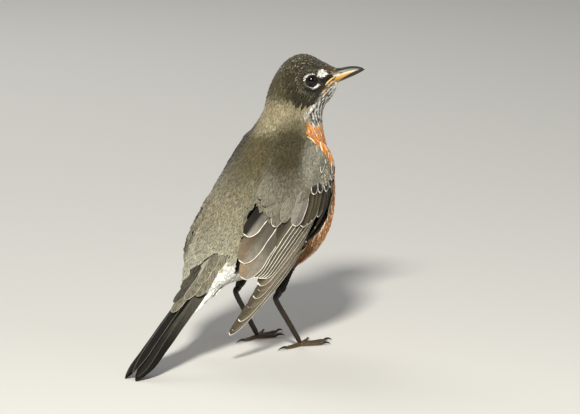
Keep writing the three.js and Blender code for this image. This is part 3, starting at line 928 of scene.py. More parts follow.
class Ground:
    """The skin as feathers find it: the nearest place on it and its outward way there."""

    def __init__(self, skin):
        self.places = bird_places(skin)
        self.normals = vertices_of(skin, "normal")
        self.faces = [tuple(p.vertices) for p in skin.data.polygons]
        self.tree = BVHTree.FromPolygons([tuple(p) for p in self.places], self.faces)
        self.face_normals = unit(np.array([self.normals[list(f)].mean(0) for f in self.faces]))

    def nearest(self, points):
        flat = points.reshape(-1, 3)
        spots, facing = np.empty_like(flat), np.empty_like(flat)
        find, normals = self.tree.find_nearest, self.face_normals
        for i, point in enumerate(flat):
            spot, _, face, _ = find(Vector(point))
            spots[i], facing[i] = spot, normals[face]
        return spots.reshape(points.shape), facing.reshape(points.shape)

    def lift_over(self, place, along, across, missed):
        """The lift of this surface over places of a chart, and missed where it isn't there."""
        high, low = 20.0, -12.0
        lifts = []
        for start, end in zip(place(along, across, high), place(along, across, low)):
            hit = self.tree.ray_cast(Vector(start), Vector(unit(end - start)), high - low)
            lifts.append(missed if hit[0] is None else high - hit[3])
        return np.array(lifts)

    def scatter(self, gap_of, tries):
        """Roots on the skin, no two nearer than gap_of says there."""
        halves = [(f[0], f[2], f[3]) for f in self.faces if len(f) > 3]
        corners = np.array([f[:3] for f in self.faces] + halves)
        a, b, c = (self.places[corners[:, k]] for k in range(3))
        area = np.linalg.norm(np.cross(b - a, c - a), axis=1) / 2
        gap = gap_of((a + b + c) / 3)
        weight = np.where(np.isfinite(gap), area / gap**2, 0)
        pick = luck.choice(len(area), tries, p=weight / weight.sum())
        s, t = luck.random((2, tries, 1))
        s, t = np.where(s + t > 1, 1 - s, s), np.where(s + t > 1, 1 - t, t)
        points = a[pick] + (b - a)[pick] * s + (c - a)[pick] * t
        gap = gap_of(points)
        tree = KDTree(tries)
        for i, point in enumerate(points):
            tree.insert(point, i)
        tree.balance()
        free = np.isfinite(gap)
        kept = []
        for i in range(tries):
            if free[i]:
                kept.append(i)
                for _, j, _ in tree.find_range(points[i], gap[i]):
                    free[j] = False
        return points[kept]


def feather_gap(points):
    """How far apart the feathers' roots stand; none grow in the eyes, nor where a wing's quills show."""
    straight = straightened(points)
    x, _, z = np.moveaxis(straight, -1, 0)
    run, turn, _ = along_spine(straight)
    at = [0, 10, 17, 27, 45, 65, 85, 120, 207]
    gap = np.interp(run, at, [0.75, 0.95, 1.25, 1.7, 1.9, 1.9, 2.3, 2.2, 1.9])
    gap = mix(gap, 2.4, ramp(100, 125, np.abs(turn)) * ramp(60, 90, run))
    gap = mix(gap, 0.95, throat_share(straight))
    gap = mix(gap, 0.45, ramp(10.5, 8, np.linalg.norm(on_left(straight) - EYE, axis=-1)))
    along, across, _ = on_own_wing(points)
    gap = mix(gap, np.interp(along, [10, 40], [1.35, 1.9]), wing_share(points))
    near_legs = ramp(44, 58, points[..., 2]) * ramp(120, 140, np.abs(turn)) * (run > 110) * (run < 165)
    gap = mix(mix(gap, 1.3, near_legs), 1.0, thigh_share(points))
    bare = (covered(points) > 0.5) & (along > soft_end(points[..., 1] > 0, across) - 3.4 * gap)
    along, across, lift = on_tail(points)
    bare |= (lift > -4) & (np.abs(turn) < 64) & (along > rump_end(across) - 3.2 * gap)
    bill_edge = np.interp(z, [166, 170, 171.5, 174, 177, 179], [47.5, 47, 40.3, 43, 46.5, 48.5])
    bare |= (z > 160) & (x > bill_edge + 0.4 * ripple(4 * straight))
    for side in SIDES.values():
        height, off = from_axis(points, *eye_frame(side))
        bare |= (off < LID_RADIUS + 0.45) & (height > 0)
    return np.where(bare, np.inf, gap)


def along_surface(ways, normals):
    """Ways laid flat on a surface."""
    return unit(ways - (ways * normals).sum(-1, keepdims=True) * normals)


def lie(points, normals):
    """The way that feathers point at places on the skin."""
    straight = straightened(points)
    _, _, flow = along_spine(straight)
    flow = swing(flow, HEAD_TURN * turn_share(straight), 0)
    flow = mix(flow, np.broadcast_to(-THIGH_WAY, flow.shape), thigh_share(points)[..., None])
    wings = TO_TIP * np.where(points[..., 1:2] > 0, [1, -1, 1], [1, 1, 1])
    flow = mix(flow, wings, (0.85 * wing_share(points))[..., None])
    return along_surface(flow, normals)


def swerved(way, normals, angle):
    """Ways turned by angles about the normals."""
    aside = np.cross(normals, way)
    return way * np.cos(angle)[..., None] + aside * np.sin(angle)[..., None]


def feather_sizes(roots):
    gap = feather_gap(roots)
    gap = np.where(np.isfinite(gap), gap, 1.5)
    return 4.4 * gap * luck.uniform(0.88, 1.12, len(roots)), 2.3 * gap * luck.uniform(0.9, 1.1, len(roots))


KNOTS = 4  # the control places along a feather; three lie across it at each


def bend_weights(pattern):
    """How much each of the control places moves each vertex of a pattern."""
    u, v = pattern["at"][:, 0], pattern["at"][:, 1]
    knots = np.arange(KNOTS) / (KNOTS - 1)
    along = [np.prod([(v - b) / (a - b) for b in knots if b != a], axis=0) for a in knots]
    across = [u * (u - 1) / 2, 1 - u**2, u * (u + 1) / 2]
    return np.stack([a * b for a in along for b in across], -1)


def looseness(points):
    """How far the feathers' roots lie below their tips, as a share of the coat's depth."""
    run, turn, _ = along_spine(straightened(points))
    loose = mix(0.5, 0.8, ramp(90, 110, np.abs(turn)) * ramp(40, 60, run))
    return mix(loose, 0.6, wing_share(points))


def fluff(points):
    """How much farther than the coat's depth feathers stand out over the bill's root and on the hindhead."""
    x, _, z = np.moveaxis(straightened(points), -1, 0)
    return 0.35 * ramp(41.5, 43.5, x) + 0.8 * ramp(16, 9, x) * ramp(160, 168, z) * ramp(192, 184, z)


def plant(name, pattern, ground, roots):
    """Contour feathers over the form from their roots: bent to it, each tip standing at the coat's depth."""
    lengths, widths = feather_sizes(roots)
    count = len(roots)
    spots, facing = ground.nearest(roots)
    way = swerved(lie(spots, facing), facing, luck.normal(0, 0.09, count))
    rows = []
    step = (lengths / (KNOTS - 1))[:, None]
    for _ in range(KNOTS):
        aside = np.cross(facing, way) * (widths / 2)[:, None]
        left, right = ground.nearest(spots - aside), ground.nearest(spots + aside)
        rows.append([np.stack(three, 1) for three in zip(left, (spots, facing), right)])
        spots, facing = ground.nearest(spots + way * step)
        way = along_surface(unit(lie(spots, facing) * 0.6 + way * 0.4), facing)
    grid, outs = (np.concatenate(parts, 1) for parts in zip(*rows))
    weights = bend_weights(pattern)
    places = np.einsum("vk,nkc->nvc", weights, grid)
    out = unit(np.einsum("vk,nkc->nvc", weights, outs))
    u, v, w = pattern["at"].T
    depth = coat_depth(roots) * luck.uniform(0.9, 1.08, count)
    rise = depth[:, None] * (1 - looseness(roots)[:, None] * (1 - v)[None])
    rise = rise + fluff(roots)[:, None] * mix(0.6, 1, v)[None]
    dome = 0.06 * widths[:, None] * (0.35 - u**2)[None]
    ragged = luck.normal(0, 0.03, (count, len(u))) * widths[:, None] * (v > 0.8)
    thickness = np.clip(0.04 * widths, 0.05, 0.12)[:, None] * w[None]
    places = places + out * (rise + dome + ragged + thickness)[..., None]
    seen = (grid[:, 7] + grid[:, 10]) / 2  # the part that the next feathers leave bare
    return many(name, pattern, places, feather_marks(pattern, seen, lengths, widths))


def feather_marks(pattern, seen, lengths, widths):
    """What the feathers' vertices carry: their place on the vane, its sizes and number, and two colours."""
    count, size = len(seen), len(pattern["at"])
    tones = luck.uniform(0.92, 1.08, count), luck.uniform(0.7, 1.3, count)
    tone = mix(*tones, hood_share(straightened(seen)))[:, None]
    tone = tone * (1 + luck.normal(0, 0.022, (count, 1)) * np.array([1.0, 0.2, -1.3]))
    tint, rim = (feather_colours(seen, rims) * tone for rims in (False, True))
    half = widths[:, None] / 2 * pattern["side"]
    return {
        "chart": np.tile(columns_of(pattern["flat"], pattern["at"][:, 1], 0), (count, 1, 1)),
        "size": columns_of(half, lengths[:, None], luck.uniform(0, 90, count)[:, None]),
        "tint": spread(np.c_[tint, np.ones(count)], size),
        "rim": spread(np.c_[rim, rim_widths(seen)], size),
    }


def bake_patches(piece, pattern, at):
    """A small patch for each feather at its own place on the skin's unwrap."""
    u, v, _ = pattern["at"].T
    uv = at[:, None] + (np.stack([u * 0.5, v - 0.5], -1) * PATCH)[None]
    set_bake_map(piece, uv[:, pattern["corner"]])


PATCH = 0.003  # the size of a feather's patch on the bake map

ROOT_TRIES = 150000

# Each coat piece takes the roots that are left where its test holds, by run, turn and what they stand on.
COATS = {
    "coat_face": ("tiny", "head_plumage", lambda run, turn, wing, leg: run < 22),
    "coat_crown": ("small", "head_plumage", lambda run, turn, wing, leg: run < 46),
    "coat_leg": ("small", "thigh_plumage", lambda run, turn, wing, leg: leg > 0.5),
    "coat_shoulder": ("broad", "back_plumage", lambda run, turn, wing, leg: wing > 0.5),
    "coat_neck": ("broad", "neck_plumage", lambda run, turn, wing, leg: run < 74),
    "coat_back": ("broad", "trunk_plumage", lambda run, turn, wing, leg: (turn < 85) & (run < 118)),
    "coat_rump": ("broad", "trunk_plumage", lambda run, turn, wing, leg: turn < 85),
    "coat_breast": ("broad", "trunk_plumage", lambda run, turn, wing, leg: run < 112),
    "coat_belly": ("broad", "trunk_plumage", lambda run, turn, wing, leg: run > 0),
}


def make_coat(ground, material):
    patterns = {
        "tiny": feather_pattern(3, 1, barb_share=0.4),
        "small": feather_pattern(4, 1, barb_share=0.34),
        "broad": feather_pattern(5, 2, barb_share=0.26),
    }
    roots = ground.scatter(feather_gap, ROOT_TRIES)
    run, turn, _ = along_spine(straightened(roots))
    facts = run, np.abs(turn), wing_share(roots), thigh_share(roots)
    left = np.ones(len(roots), bool)
    for name, (kind, slot, takes) in COATS.items():
        mine = left & takes(*facts)
        left &= ~mine
        for side_name, side in SIDES.items():
            chosen = roots[mine & (roots[:, 1] * side > 0)]
            piece = plant(f"{name}_{side_name}", patterns[kind], ground, chosen)
            bake_patches(piece, patterns[kind], skin_unwrap(chosen))
            finish_piece(piece, material, angle=50)


# ---------- quills: the stiff vanes of wings and tail ----------

VANE_DARK = linear(66, 60, 48)
VANE_EDGE = linear(190, 182, 160)
SECONDARY = linear(120, 112, 94)
TERTIAL = linear(78, 68, 54)
TERTIAL_WEB = linear(128, 121, 108)
COVERT = linear(44, 39, 30)
COVERT_WEB = linear(92, 85, 68)
GREY_COVERT = linear(140, 136, 126)
FRINGE = linear(226, 220, 204)
TAIL_DARK = linear(16, 15, 12)
TAIL_EDGE = linear(116, 112, 98)
TAIL_COVERT = linear(114, 109, 91)


def vane_pattern(rows):
    """A flat blade of unit size, crowded with rows towards its tip: x across, y along, z through it."""
    piece = flat_grid(8, rows)
    at = vertices_of(piece)
    move_vertices(piece, np.stack([at[:, 0], 1 - ((1 - at[:, 1]) / 2) ** 1.6, at[:, 2]], -1))
    apply_modifier(piece, "SOLIDIFY", thickness=1, offset=0)
    return read_pattern(outward(piece))


def vane_width(s, tip_round, blunt):
    root = mix(0.6, 1, ramp(0, 0.3, s))
    beyond = np.maximum(0, (s - 1 + tip_round) / tip_round)
    return root * np.maximum(np.maximum(0, 1 - beyond**2) ** blunt, 0.05)


def vane(root, bend, tip, width, lift, tint, edge, **more):
    """What one quill is: root, bend and tip on its chart, its full width, its lift at root and tip, its
    colours. The rim is the fringe's breadth, less by slim at the sides. Side is 1 or -1 for the edge whose
    half web colours and, unless fringed is 0, the only one with a rim. Base makes the root lighter, and a
    lower blunt makes the tip squarer."""
    plain = dict(tip_round=0.14, lean=0.0, thick=0.22, rim=0.6, camber=0.07, skew=0.0, side=0, slim=1.0,
                 blunt=0.5, fade=(0.1, 0.75), web=tint, base=1.0, arch=0.0, fringed=more.get("side", 0))
    known = dict(root=root, bend=bend, tip=tip, width=width, lift=lift, tint=tint, edge=edge)
    return SimpleNamespace(**{**plain, **known, **more})


def lay_vanes(name, pattern, place, vanes, rest_on=None):
    """Quills laid on a chart; rest_on gives the lift of what they lie on, 0 if nothing."""
    u, s, w = pattern["at"].T
    t = s[:, None]
    places, marks = [], {"chart": [], "size": [], "tint": [], "rim": []}
    for f in vanes:
        a, b, c = (np.array(spot, float) for spot in (f.root, f.bend, f.tip))
        line = (1 - t) ** 2 * a + 2 * t * (1 - t) * b + t**2 * c
        way = unit(2 * (1 - t) * (b - a) + 2 * t * (c - b))
        half = f.width / 2 * vane_width(s, f.tip_round, f.blunt)
        wavy = 1 + 0.02 * np.sin(31 * s + 5 * luck.random()) * np.abs(u) ** 3
        across = half * wavy * (u + f.skew * (1 - u**2))
        along, beside = line[:, 0] - way[:, 1] * across, line[:, 1] + way[:, 0] * across
        ridge = 0.10 * np.exp(-((across - half * f.skew) / 0.35) ** 2) * np.sign(w)
        low = rest_on(along, beside) if rest_on else 0
        bowed = mix(*f.lift, s) + 4 * f.arch * s * (1 - s)
        lift = low + bowed + f.camber * f.width * (0.5 - u**2)
        lift = lift + f.lean * u * half + w * f.thick * mix(1, 0.4, s) + ridge
        places.append(place(along, beside, lift))
        tone = luck.uniform(0.92, 1.08)
        outer = ramp(-0.3, 0.1, u * f.side)[:, None] * (f.side != 0)
        tint = mix(f.tint, f.web, outer) * tone * mix(f.base, 1, ramp(*f.fade, s))[:, None]
        marks["chart"].append(columns_of(u, s, f.fringed))
        marks["size"].append(columns_of(half * f.slim, np.linalg.norm(c - a), luck.uniform(0, 90)))
        marks["tint"].append(np.c_[tint, np.ones(len(u))])
        marks["rim"].append(np.tile(np.r_[f.edge * tone, f.rim], (len(u), 1)))
    marks = {label: np.array(values) for label, values in marks.items()}
    piece = many(name, pattern, np.array(places), marks)
    shelf_map(piece, pattern, len(vanes))
    return piece


def shelf_map(piece, pattern, count):
    """A bake map with each blade's upper and lower side in a column of its own."""
    u, s, w = pattern["at"].T
    column = np.arange(count)[:, None] + 0.5 + 0.42 * (u * 0.5 + np.where(w > 0, 0.5, -0.5))[None]
    uv = np.stack([column / count, np.broadcast_to(0.02 + 0.96 * s, column.shape)], -1)
    set_bake_map(piece, uv[:, pattern["corner"]])


def steps(low, high, count):
    """Even steps between two numbers or two places."""
    return [mix(np.asarray(low, float), np.asarray(high, float), i / max(count - 1, 1)) for i in range(count)]


# On the wing's chart a vane's side -1 is its outer edge, towards the wing's front.

PRIMARY_TIPS = [(97, 1.5), (100, -1), (105.5, -0.8), (112.5, -0.8), (123, -0.3), (130, 0.2), (133.5, 0.4)]


def primaries():
    count = len(PRIMARY_TIPS)
    rows = zip(steps((30, -16), (34, -29), count), steps((64, -8), (84, -12.5), count), PRIMARY_TIPS,
               steps(9, 8, count), steps(-0.9, -3.9, count))
    return [
        vane(root, bend, tip, width, (lift, lift), VANE_DARK * 1.5, FRINGE * 1.15, tip_round=0.1 + 0.012 * i,
             skew=-0.35, thick=0.12, rim=0.5 if i % 2 else 1.1, side=-1, fringed=-0.3, camber=0.006,
             web=SECONDARY * (1.1 - 0.07 * i) * [1.0, 0.94, 0.9])
        for i, (root, bend, tip, width, lift) in enumerate(rows)
    ]


def secondaries():
    count = 5
    rows = zip(steps((24, -3), (26, -14), count), steps((60, 9.5), (60, -3.4), count),
               steps((95.5, 8.5), (92, 1), count), steps(1.4, -0.2, count))
    # The dark webs are partly the quills' own colour, partly painted shade between the stacked quills.
    return [
        vane(root, bend, tip, 9, (lift, lift), VANE_DARK * 0.8, FRINGE * 1.2, skew=-0.4, camber=0.006,
             rim=1.5, side=-1, web=SECONDARY * 0.55, thick=0.14)
        for root, bend, tip, lift in rows
    ]


def tertials(sunk):
    rows = [
        ((30, 2), (62, 14), (99.5, 14), 16, TERTIAL * 3, TERTIAL_WEB * 1.25, 0.36),
        ((30, 10), (60, 17), (91, 20.5), 14, TERTIAL * 2.1, TERTIAL_WEB, 0.4),
        ((34, 17), (54, 20.5), (74.5, 25), 10, TERTIAL * 0.18, GREY_COVERT * 0.95, 0.5),
    ]
    return [
        vane(root, bend, tip, width, (0.5 * i - 0.4 - sunk, 2 + 0.6 * i - sunk), inner, FRINGE,
             tip_round=0.22, skew=-0.15, camber=0.015, rim=1.0, side=-1, web=outer, thick=0.2, base=base,
             fade=(0.58, 0.94), arch=0.5)
        for i, (root, bend, tip, width, inner, outer, base) in enumerate(rows)
    ]


def greater_coverts():
    tips = [(53, -0.4), (50.5, -6.2), (47.2, -8.8), (43.5, -11), (38.5, -16), (32.5, -21.5), (27, -26)]
    return [
        vane((tip[0] - 25, tip[1] * 0.8 + 2.5), (tip[0] - 12, tip[1] + 1.2), tip, 9 - 0.4 * i,
             (-0.8 - 0.12 * i, 0.9 - 0.25 * i), COVERT * 1.2 if i else GREY_COVERT * 0.9, FRINGE,
             tip_round=0.3, skew=-0.2, rim=1.05, side=-1, web=COVERT_WEB * 0.95 if i else GREY_COVERT * 0.7,
             camber=0.01, thick=0.14)
        for i, tip in enumerate(tips)
    ][::-1]


def median_coverts():
    tips = [(28.4, -3.2), (24.9, -7.3), (21.4, -12.1), (17.1, -14.9), (12.6, -13.6), (12.9, -2.8),
            (8.2, -12.3)]
    return [
        vane((tip[0] - 10, tip[1] + 1.2), (tip[0] - 5, tip[1] + 0.5), tip, 5.6 if tip[0] > 15 else 3,
             (-1.8, 0.3), BLACK * 1.5 if tip[0] > 15 else SHOULDER * 0.6, FRINGE, tip_round=0.55, rim=1.15,
             slim=2.2, camber=0.03, base=4.0)
        for tip in tips
    ][::-1]


def hand_coverts():
    """The alula and the primary coverts along the wing's front edge."""
    coverts = [
        vane(root, (36, -25), tip, 5.5, (-0.6, 0.1), VANE_DARK * 0.7, VANE_EDGE, tip_round=0.3, rim=0.9,
             side=-1)
        for root, tip in zip(steps((22, -16), (20, -25), 3), [(45, -21), (55.7, -22), (55, -25.5)])
    ]
    alula = vane((8, -19), (20, -24.5), (34, -29), 7, (-1.5, 0.1), BLACK, VANE_EDGE, tip_round=0.3, rim=0.8,
                 side=-1)
    return coverts[::-1] + [alula]


def scapulars():
    """The lowest scapulars, which keep their shape below the soft ones."""
    tips = [(60.5, 12), (56.5, 17), (55, 8), (51.5, 22), (48.5, 26)]
    return [
        vane((tip[0] - 26, mix(tip[1], 12, 0.3)), (tip[0] - 12, tip[1]), tip, 8.2, (-2.0, 1.7 + 0.1 * i),
             SCAPULAR * (1.05 + 0.1 * (i % 3)), SCAPULAR * 2 if i else FRINGE, tip_round=0.4,
             rim=0.35 if i else 1.2, slim=1.6 if i else 3, thick=0.16, camber=0.04, arch=-0.1, base=0.6)
        for i, tip in enumerate(tips)
    ]


def make_wings(material, soft_material):
    fine, broad = vane_pattern(rows=26), vane_pattern(rows=14)
    for name, side in SIDES.items():
        stiff = {"primaries": primaries()[::-1],
                 "secondaries": secondaries()[::-1] + tertials(2 * (side > 0))}
        coverts = {"greater_coverts": hand_coverts() + greater_coverts(), "median_coverts": median_coverts()}
        if side < 0:  # the left ones lie under the back's feathers
            coverts["scapulars"] = scapulars()
        place = partial(wing_place, side)
        for part, vanes in stiff.items():
            piece = lay_vanes(f"{name}_{part}", fine, place, vanes)
            finish_piece(outward(piece), material, [f"wing_{name}_{part}"], angle=50)
        for part, vanes in coverts.items():
            piece = lay_vanes(f"{name}_{part}", broad, place, vanes, wing_level)
            cover = material if part == "greater_coverts" else soft_material
            finish_piece(outward(piece), cover, angle=50)


# The tail's pairs from the middle one out, and how far each falls short of the longest.
TAIL_SHORTFALLS = [3, 0.5, 0, 1.5, 3, 5]


def tail_quills():
    vanes = []
    for pair, shortfall in reversed(list(enumerate(TAIL_SHORTFALLS))):
        for side in (-1, 1):
            out = side * (pair + 0.5)
            tip = (TAIL_LENGTH + 2 - shortfall, side * (4.4 + 0.25 * pair))
            lift = 1.4 - 0.42 * pair + 0.1 * (side > 0)
            # The right-hand pairs are painted lighter grey at the root, web and edge: partly their own
            # grey-brown, partly a painted sheen.
            grey = 9.0 if side < 0 else 1.3
            edge = TAIL_EDGE if pair == 0 else TAIL_DARK * (2 if side > 0 else 4)
            vanes.append(vane((4, out * 0.9), (60, out * 1.1), tip, 9, (lift, lift), TAIL_DARK, edge,
                              tip_round=0.16, blunt=0.8, skew=0.35 * side if pair else 0, thick=0.14, rim=0.4,
                              side=side, web=TAIL_DARK * (1.6 if side > 0 else 2.2), base=grey, camber=0.006,
                              fade=(0.15, 0.7)))
    top = vane((6, 1), (50, 3.6), (98, 0.3), 7, (1.9, 1.9), TAIL_DARK, TAIL_EDGE, tip_round=0.2, blunt=0.8,
               thick=0.24, rim=0.5, base=2.0, camber=0.01)
    return vanes + [top]


def tail_coverts(surface):
    """The longest feathers over the tail's root, and the white ones below it."""
    upper = [(31, -7.4), (20, -7.6), (10, -9), (40, 6.5), (47.4, 2.3), (28, 9), (36, -1.4), (16, 10),
             (22.5, -3.5), (12.6, -5)]
    vanes = []
    for i, tip in enumerate(upper):
        along = tip[0] - np.array([28, 14, 0])
        level = np.maximum(surface(along, tip[1] * np.array([0.8, 0.9, 1])), 1.8)
        root, middle, end = level + [-1, 0.7, 0.7 + 0.1 * i]
        plain = abs(tip[1]) > 6.5
        tint = TAIL_COVERT * (0.3 if tip[1] > 6 else 0.9)
        vanes.append(vane((along[0], tip[1] * 0.8), (along[1], tip[1] * 0.9), tip, 8.4, (root, end), tint,
                          tint * 1.8 if plain else FRINGE * 0.6, tip_round=0.25, rim=0.5, camber=0.02,
                          thick=0.18, arch=middle - (root + end) / 2))
    for lift, reach, count in ((-1.5, 43, 3), (-3, 36, 3), (-6, 26, 4), (-8, 15, 3)):
        for across in np.linspace(-9, 7, count):
            tip = (reach + luck.uniform(-2, 2), across * 0.9)
            vanes.append(vane((-12, across * 0.7), (reach * 0.4, across), tip, 7, (lift - 2, lift + 0.5),
                              WHITE * 0.9, WHITE, tip_round=0.4, rim=1.2, camber=0.05, lean=0.1))
    return vanes


def make_tail(material, soft_material, ground):
    def surface(along, across):
        return ground.lift_over(tail_place, along, across, 0.0)

    for name, vanes, slot, nodes in (
        ("tail_quills", tail_quills(), "tail_quills", ["tail"]),
        ("tail_coverts", tail_coverts(surface), "trunk_plumage", []),
    ):
        piece = lay_vanes(name, vane_pattern(30 if nodes else 14), tail_place, vanes)
        finish_piece(outward(piece), material if nodes else soft_material, nodes, angle=50)


# ---------- the bill ----------

# The bill's upper edge (culmen), lower edge (gonys) and half width, straight, from the face to the tip.
BILL_UP = [(38, 171), (40.5, 176), (45, 178.3), (50, 178.9), (55, 179.8), (60, 180), (64, 179.2),
           (66.2, 177.8)]
BILL_LOW = [(38, 171), (40.5, 166.5), (45.5, 168.3), (50.5, 170.2), (55.5, 172.3), (60, 174.3),
            (63.8, 176.3), (66.2, 177.8)]
BILL_HALF = [0, 6.6, 5.2, 3.7, 2.8, 2.0, 1.1, 0]
GAPE = np.array([39.7, 168.9])
BILL_TIP = np.array([66.2, 177.9])
HORN_YELLOW = linear(206, 154, 66)
HORN_DARK = linear(44, 40, 32)
HORN_GREY = linear(110, 110, 102)
HORN_PALE = linear(226, 218, 196)
GAPE_RIM = HORN_PALE * [0.95, 0.7, 0.35]


def nostril_share(x, z, middle, half_height):
    return np.exp(-(((x - middle) / 1.5) ** 2 + ((z - 176.3) / half_height) ** 2))


def make_bill(material):
    for half, keeps in (("upper", 1), ("lower", -1)):
        piece, along, angle = ball("horn_" + half, 40, 60)
        up, low = curve_through(BILL_UP, along), curve_through(BILL_LOW, along)
        width = np.maximum(np.interp(along, np.linspace(0, 1, len(BILL_HALF)), BILL_HALF), 0)
        if keeps < 0:
            width = width * 0.9
        sine, cosine = np.sin(angle), np.cos(angle)
        full = np.where(sine > 0, 0.86, 1.15)
        rise = np.sign(sine) * np.abs(sine) ** full
        middle, reach = (up + low) / 2, (up - low) / 2
        xz = middle + reach * rise[:, None]
        side = width * np.sign(cosine) * np.abs(cosine) ** 0.9
        side = side - np.sign(side) * 0.7 * nostril_share(*xz.T, 48.0, 0.75)
        straight = np.stack([xz[:, 0], side, xz[:, 1]], -1)
        settle_places(piece, swing(straight, HEAD_TURN))
        slope = BILL_TIP - GAPE
        normal = unit(np.array([-slope[1], 0, slope[0]])) * keeps
        cut = np.array([GAPE[0], 0, GAPE[1]]) + normal * 0.06
        spot, way = Vector((swing(cut, HEAD_TURN) + ORIGIN) * MM), Vector(swing(normal, HEAD_TURN, 0))
        edit(piece, lambda: bpy.ops.mesh.bisect(plane_co=spot, plane_no=way, use_fill=True, clear_inner=True))
        paint(piece, bill_colours(swing(bird_places(piece), -HEAD_TURN), keeps))
        finish_piece(outward(piece), material, ["bill_" + half], angle=35)


def bill_colours(straight, keeps):
    """Dark ridge and tips, grey sides and a pale line along the cutting edges, both partly painted highlight;
    yellow below.
    """
    x, _, z = straight.T
    edges = [curve_through(line, np.linspace(0, 1, 80)) for line in (BILL_UP, BILL_LOW)]
    top, low = (np.interp(x, line[:, 0], line[:, 1]) for line in edges)
    share = (top - z) / np.maximum(top - low, 0.3)
    # The grey sides and the pale line along the cutting edge are partly a painted highlight on the upper
    # mandible.
    colours = mix(HORN_DARK, HORN_GREY, ramp(0.12, 0.26, share)[:, None])
    colours = mix(colours, HORN_PALE, (ramp(0.30, 0.38, share) * ramp(64, 59, x))[:, None])
    colours = mix(colours, HORN_YELLOW, (ramp(0.45, 0.53, share) * ramp(62, 57, x))[:, None])
    colours = mix(colours, HORN_DARK, (ramp(0.97, 1.03, share + 0.035 * (x - 45)) * ramp(44, 52, x))[:, None])
    colours = mix(colours, HORN_DARK, (ramp(60, 64.5, x))[:, None])
    nostril = nostril_share(x, z, 50.0, 0.7)
    return mix(colours, HORN_DARK * 0.4, np.clip(1.2 * nostril * (keeps > 0), 0, 1)[:, None])


def make_gape(ground, material):
    """The soft yellow flanges at each corner of the mouth, above and below it, lying on the face."""
    upper = np.array([(38.8, 9, 169.2), (40.6, 9, 170.6), (42.8, 8.6, 171.9), (45, 8, 173.1),
                      (48.5, 7, 175.2)])
    lower = np.array([(40.9, 9, 168.6), (42.6, 8.8, 169.3), (44.4, 8.4, 170.2), (46.2, 7.6, 171.1),
                      (48.5, 6.4, 172.2)])
    for name, side in SIDES.items():
        for part, line, colour in (("upper", upper, GAPE_RIM), ("lower", lower, GAPE_SKIN)):
            line = swing(line * [1, side, 1], HEAD_TURN)
            spots, facing = ground.nearest(line)
            piece, places, _, _ = limb(f"gape_{part}_{name}", spots + facing * 0.55,
                                       [0.3, 0.5, 0.55, 0.5, 0.4], round_steps=10, long_steps=24)
            complete(piece, places, colour, material)


# ---------- eyes, lids and bristles ----------

PUPIL = linear(6, 5, 5)
IRIS = linear(30, 21, 14)
LID_SKIN = linear(30, 27, 22)
BRISTLE = linear(24, 21, 17)


def aim_basis(look):
    """Two ways at right angles to a look: forward along the head and up."""
    ahead = swing(np.array([1.0, 0, 0]), HEAD_TURN, 0)
    ahead = unit(ahead - look * (ahead @ look))
    return ahead, unit(np.array([0, 0, 1.0]) - look * look[2] - ahead * ahead[2])


def make_eyes(eye_material, lid_material):
    for name, side in SIDES.items():
        middle, look = eye_frame(side)
        ahead, up = aim_basis(look)
        piece, along, angle = ball(f"eyeball_{name}", 48, 32)
        height = -np.cos(along * np.pi)
        off = np.sin(along * np.pi)
        bulge = EYE_RADIUS * (1 + 0.03 * ramp(0.8, 1, height))
        axes = np.stack([off * np.cos(angle), off * np.sin(angle), height], -1) * bulge[:, None]
        iris = mix(IRIS, PUPIL, ramp(2.9, 2.6, off * EYE_RADIUS)[:, None])
        places = middle + axes @ np.array([ahead, up, look])
        complete(piece, places, iris, eye_material, ["eye_" + name])
        make_lid(name, middle, look, ahead, up, lid_material)


def make_lid(name, middle, look, ahead, up, material):
    """The rim of bare skin round the eye's opening, a little longer than high."""
    piece = add_shape(bpy.ops.mesh.primitive_torus_add, f"lids_{name}", major_segments=64, minor_segments=12,
                      major_radius=1, minor_radius=0.1)
    at = vertices_of(piece)
    angle = np.arctan2(at[:, 1], at[:, 0])
    out, thick = (np.hypot(at[:, 0], at[:, 1]) - 1) * 10, at[:, 2] * 10
    radius = LID_RADIUS + 0.25 * np.abs(np.cos(angle)) ** 4 - 0.12 * np.abs(np.sin(angle)) ** 2 + 0.42 * out
    on_ball = np.sqrt(np.maximum(EYE_RADIUS**2 - np.minimum(radius, EYE_RADIUS - 0.1) ** 2, 0))
    height = on_ball + 0.1 + 0.3 * thick
    places = middle + np.outer(radius * np.cos(angle), ahead) + np.outer(radius * np.sin(angle), up)
    complete(piece, places + np.outer(height, look), LID_SKIN, material)


def make_bristles(material):
    """The stiff rictal bristles that stand forward from the corners of the mouth."""
    add = bpy.ops.mesh.primitive_cone_add
    piece = add_shape(add, "pattern", vertices=5, radius1=1, radius2=0.15, depth=1, location=(0, 0, 0.5))
    bpy.ops.object.transform_apply(location=True)
    apply_modifier(piece, "SUBSURF", levels=1, render_levels=1, subdivision_type="SIMPLE")
    pattern = read_pattern(piece)
    x, y, z = pattern["at"].T
    places = []
    for side in (-1, 1):
        for row in range(7):
            share = row / 6
            root = np.array([42.5 + 3.2 * share, side * (6.6 - 1.1 * share), 170.6 + 4.6 * share])
            way = unit(np.array([1.0, side * 0.35, -0.35 + 0.55 * share]))
            aside = unit(np.cross(way, [0, 0, 1.0]))
            over = np.cross(aside, way)
            line = z[:, None] * way * (5.2 - 1.5 * share) + (0.9 * z**2)[:, None] * over * (0.5 - share)
            places.append(root + line + 0.07 * (x[:, None] * aside + y[:, None] * over))
    piece = many("rictal_bristles", pattern, swing(np.array(places), HEAD_TURN), {})
    paint(piece, BRISTLE)
    finish_piece(outward(piece), material, angle=60)


# ---------- legs and feet ----------

SHANK = linear(42, 32, 21)
TOE = linear(70, 56, 38)
SOLE = linear(150, 122, 80)
CLAW = linear(30, 26, 21)
# Each toe's splay in degrees, and the lengths of toe and claw.
TOES = {"middle": (2, 21, 6.5), "inner": (-30, 14, 6), "outer": (27, 15.5, 5.5), "hind": (178, 12, 8)}
FOOT_TURN = 4


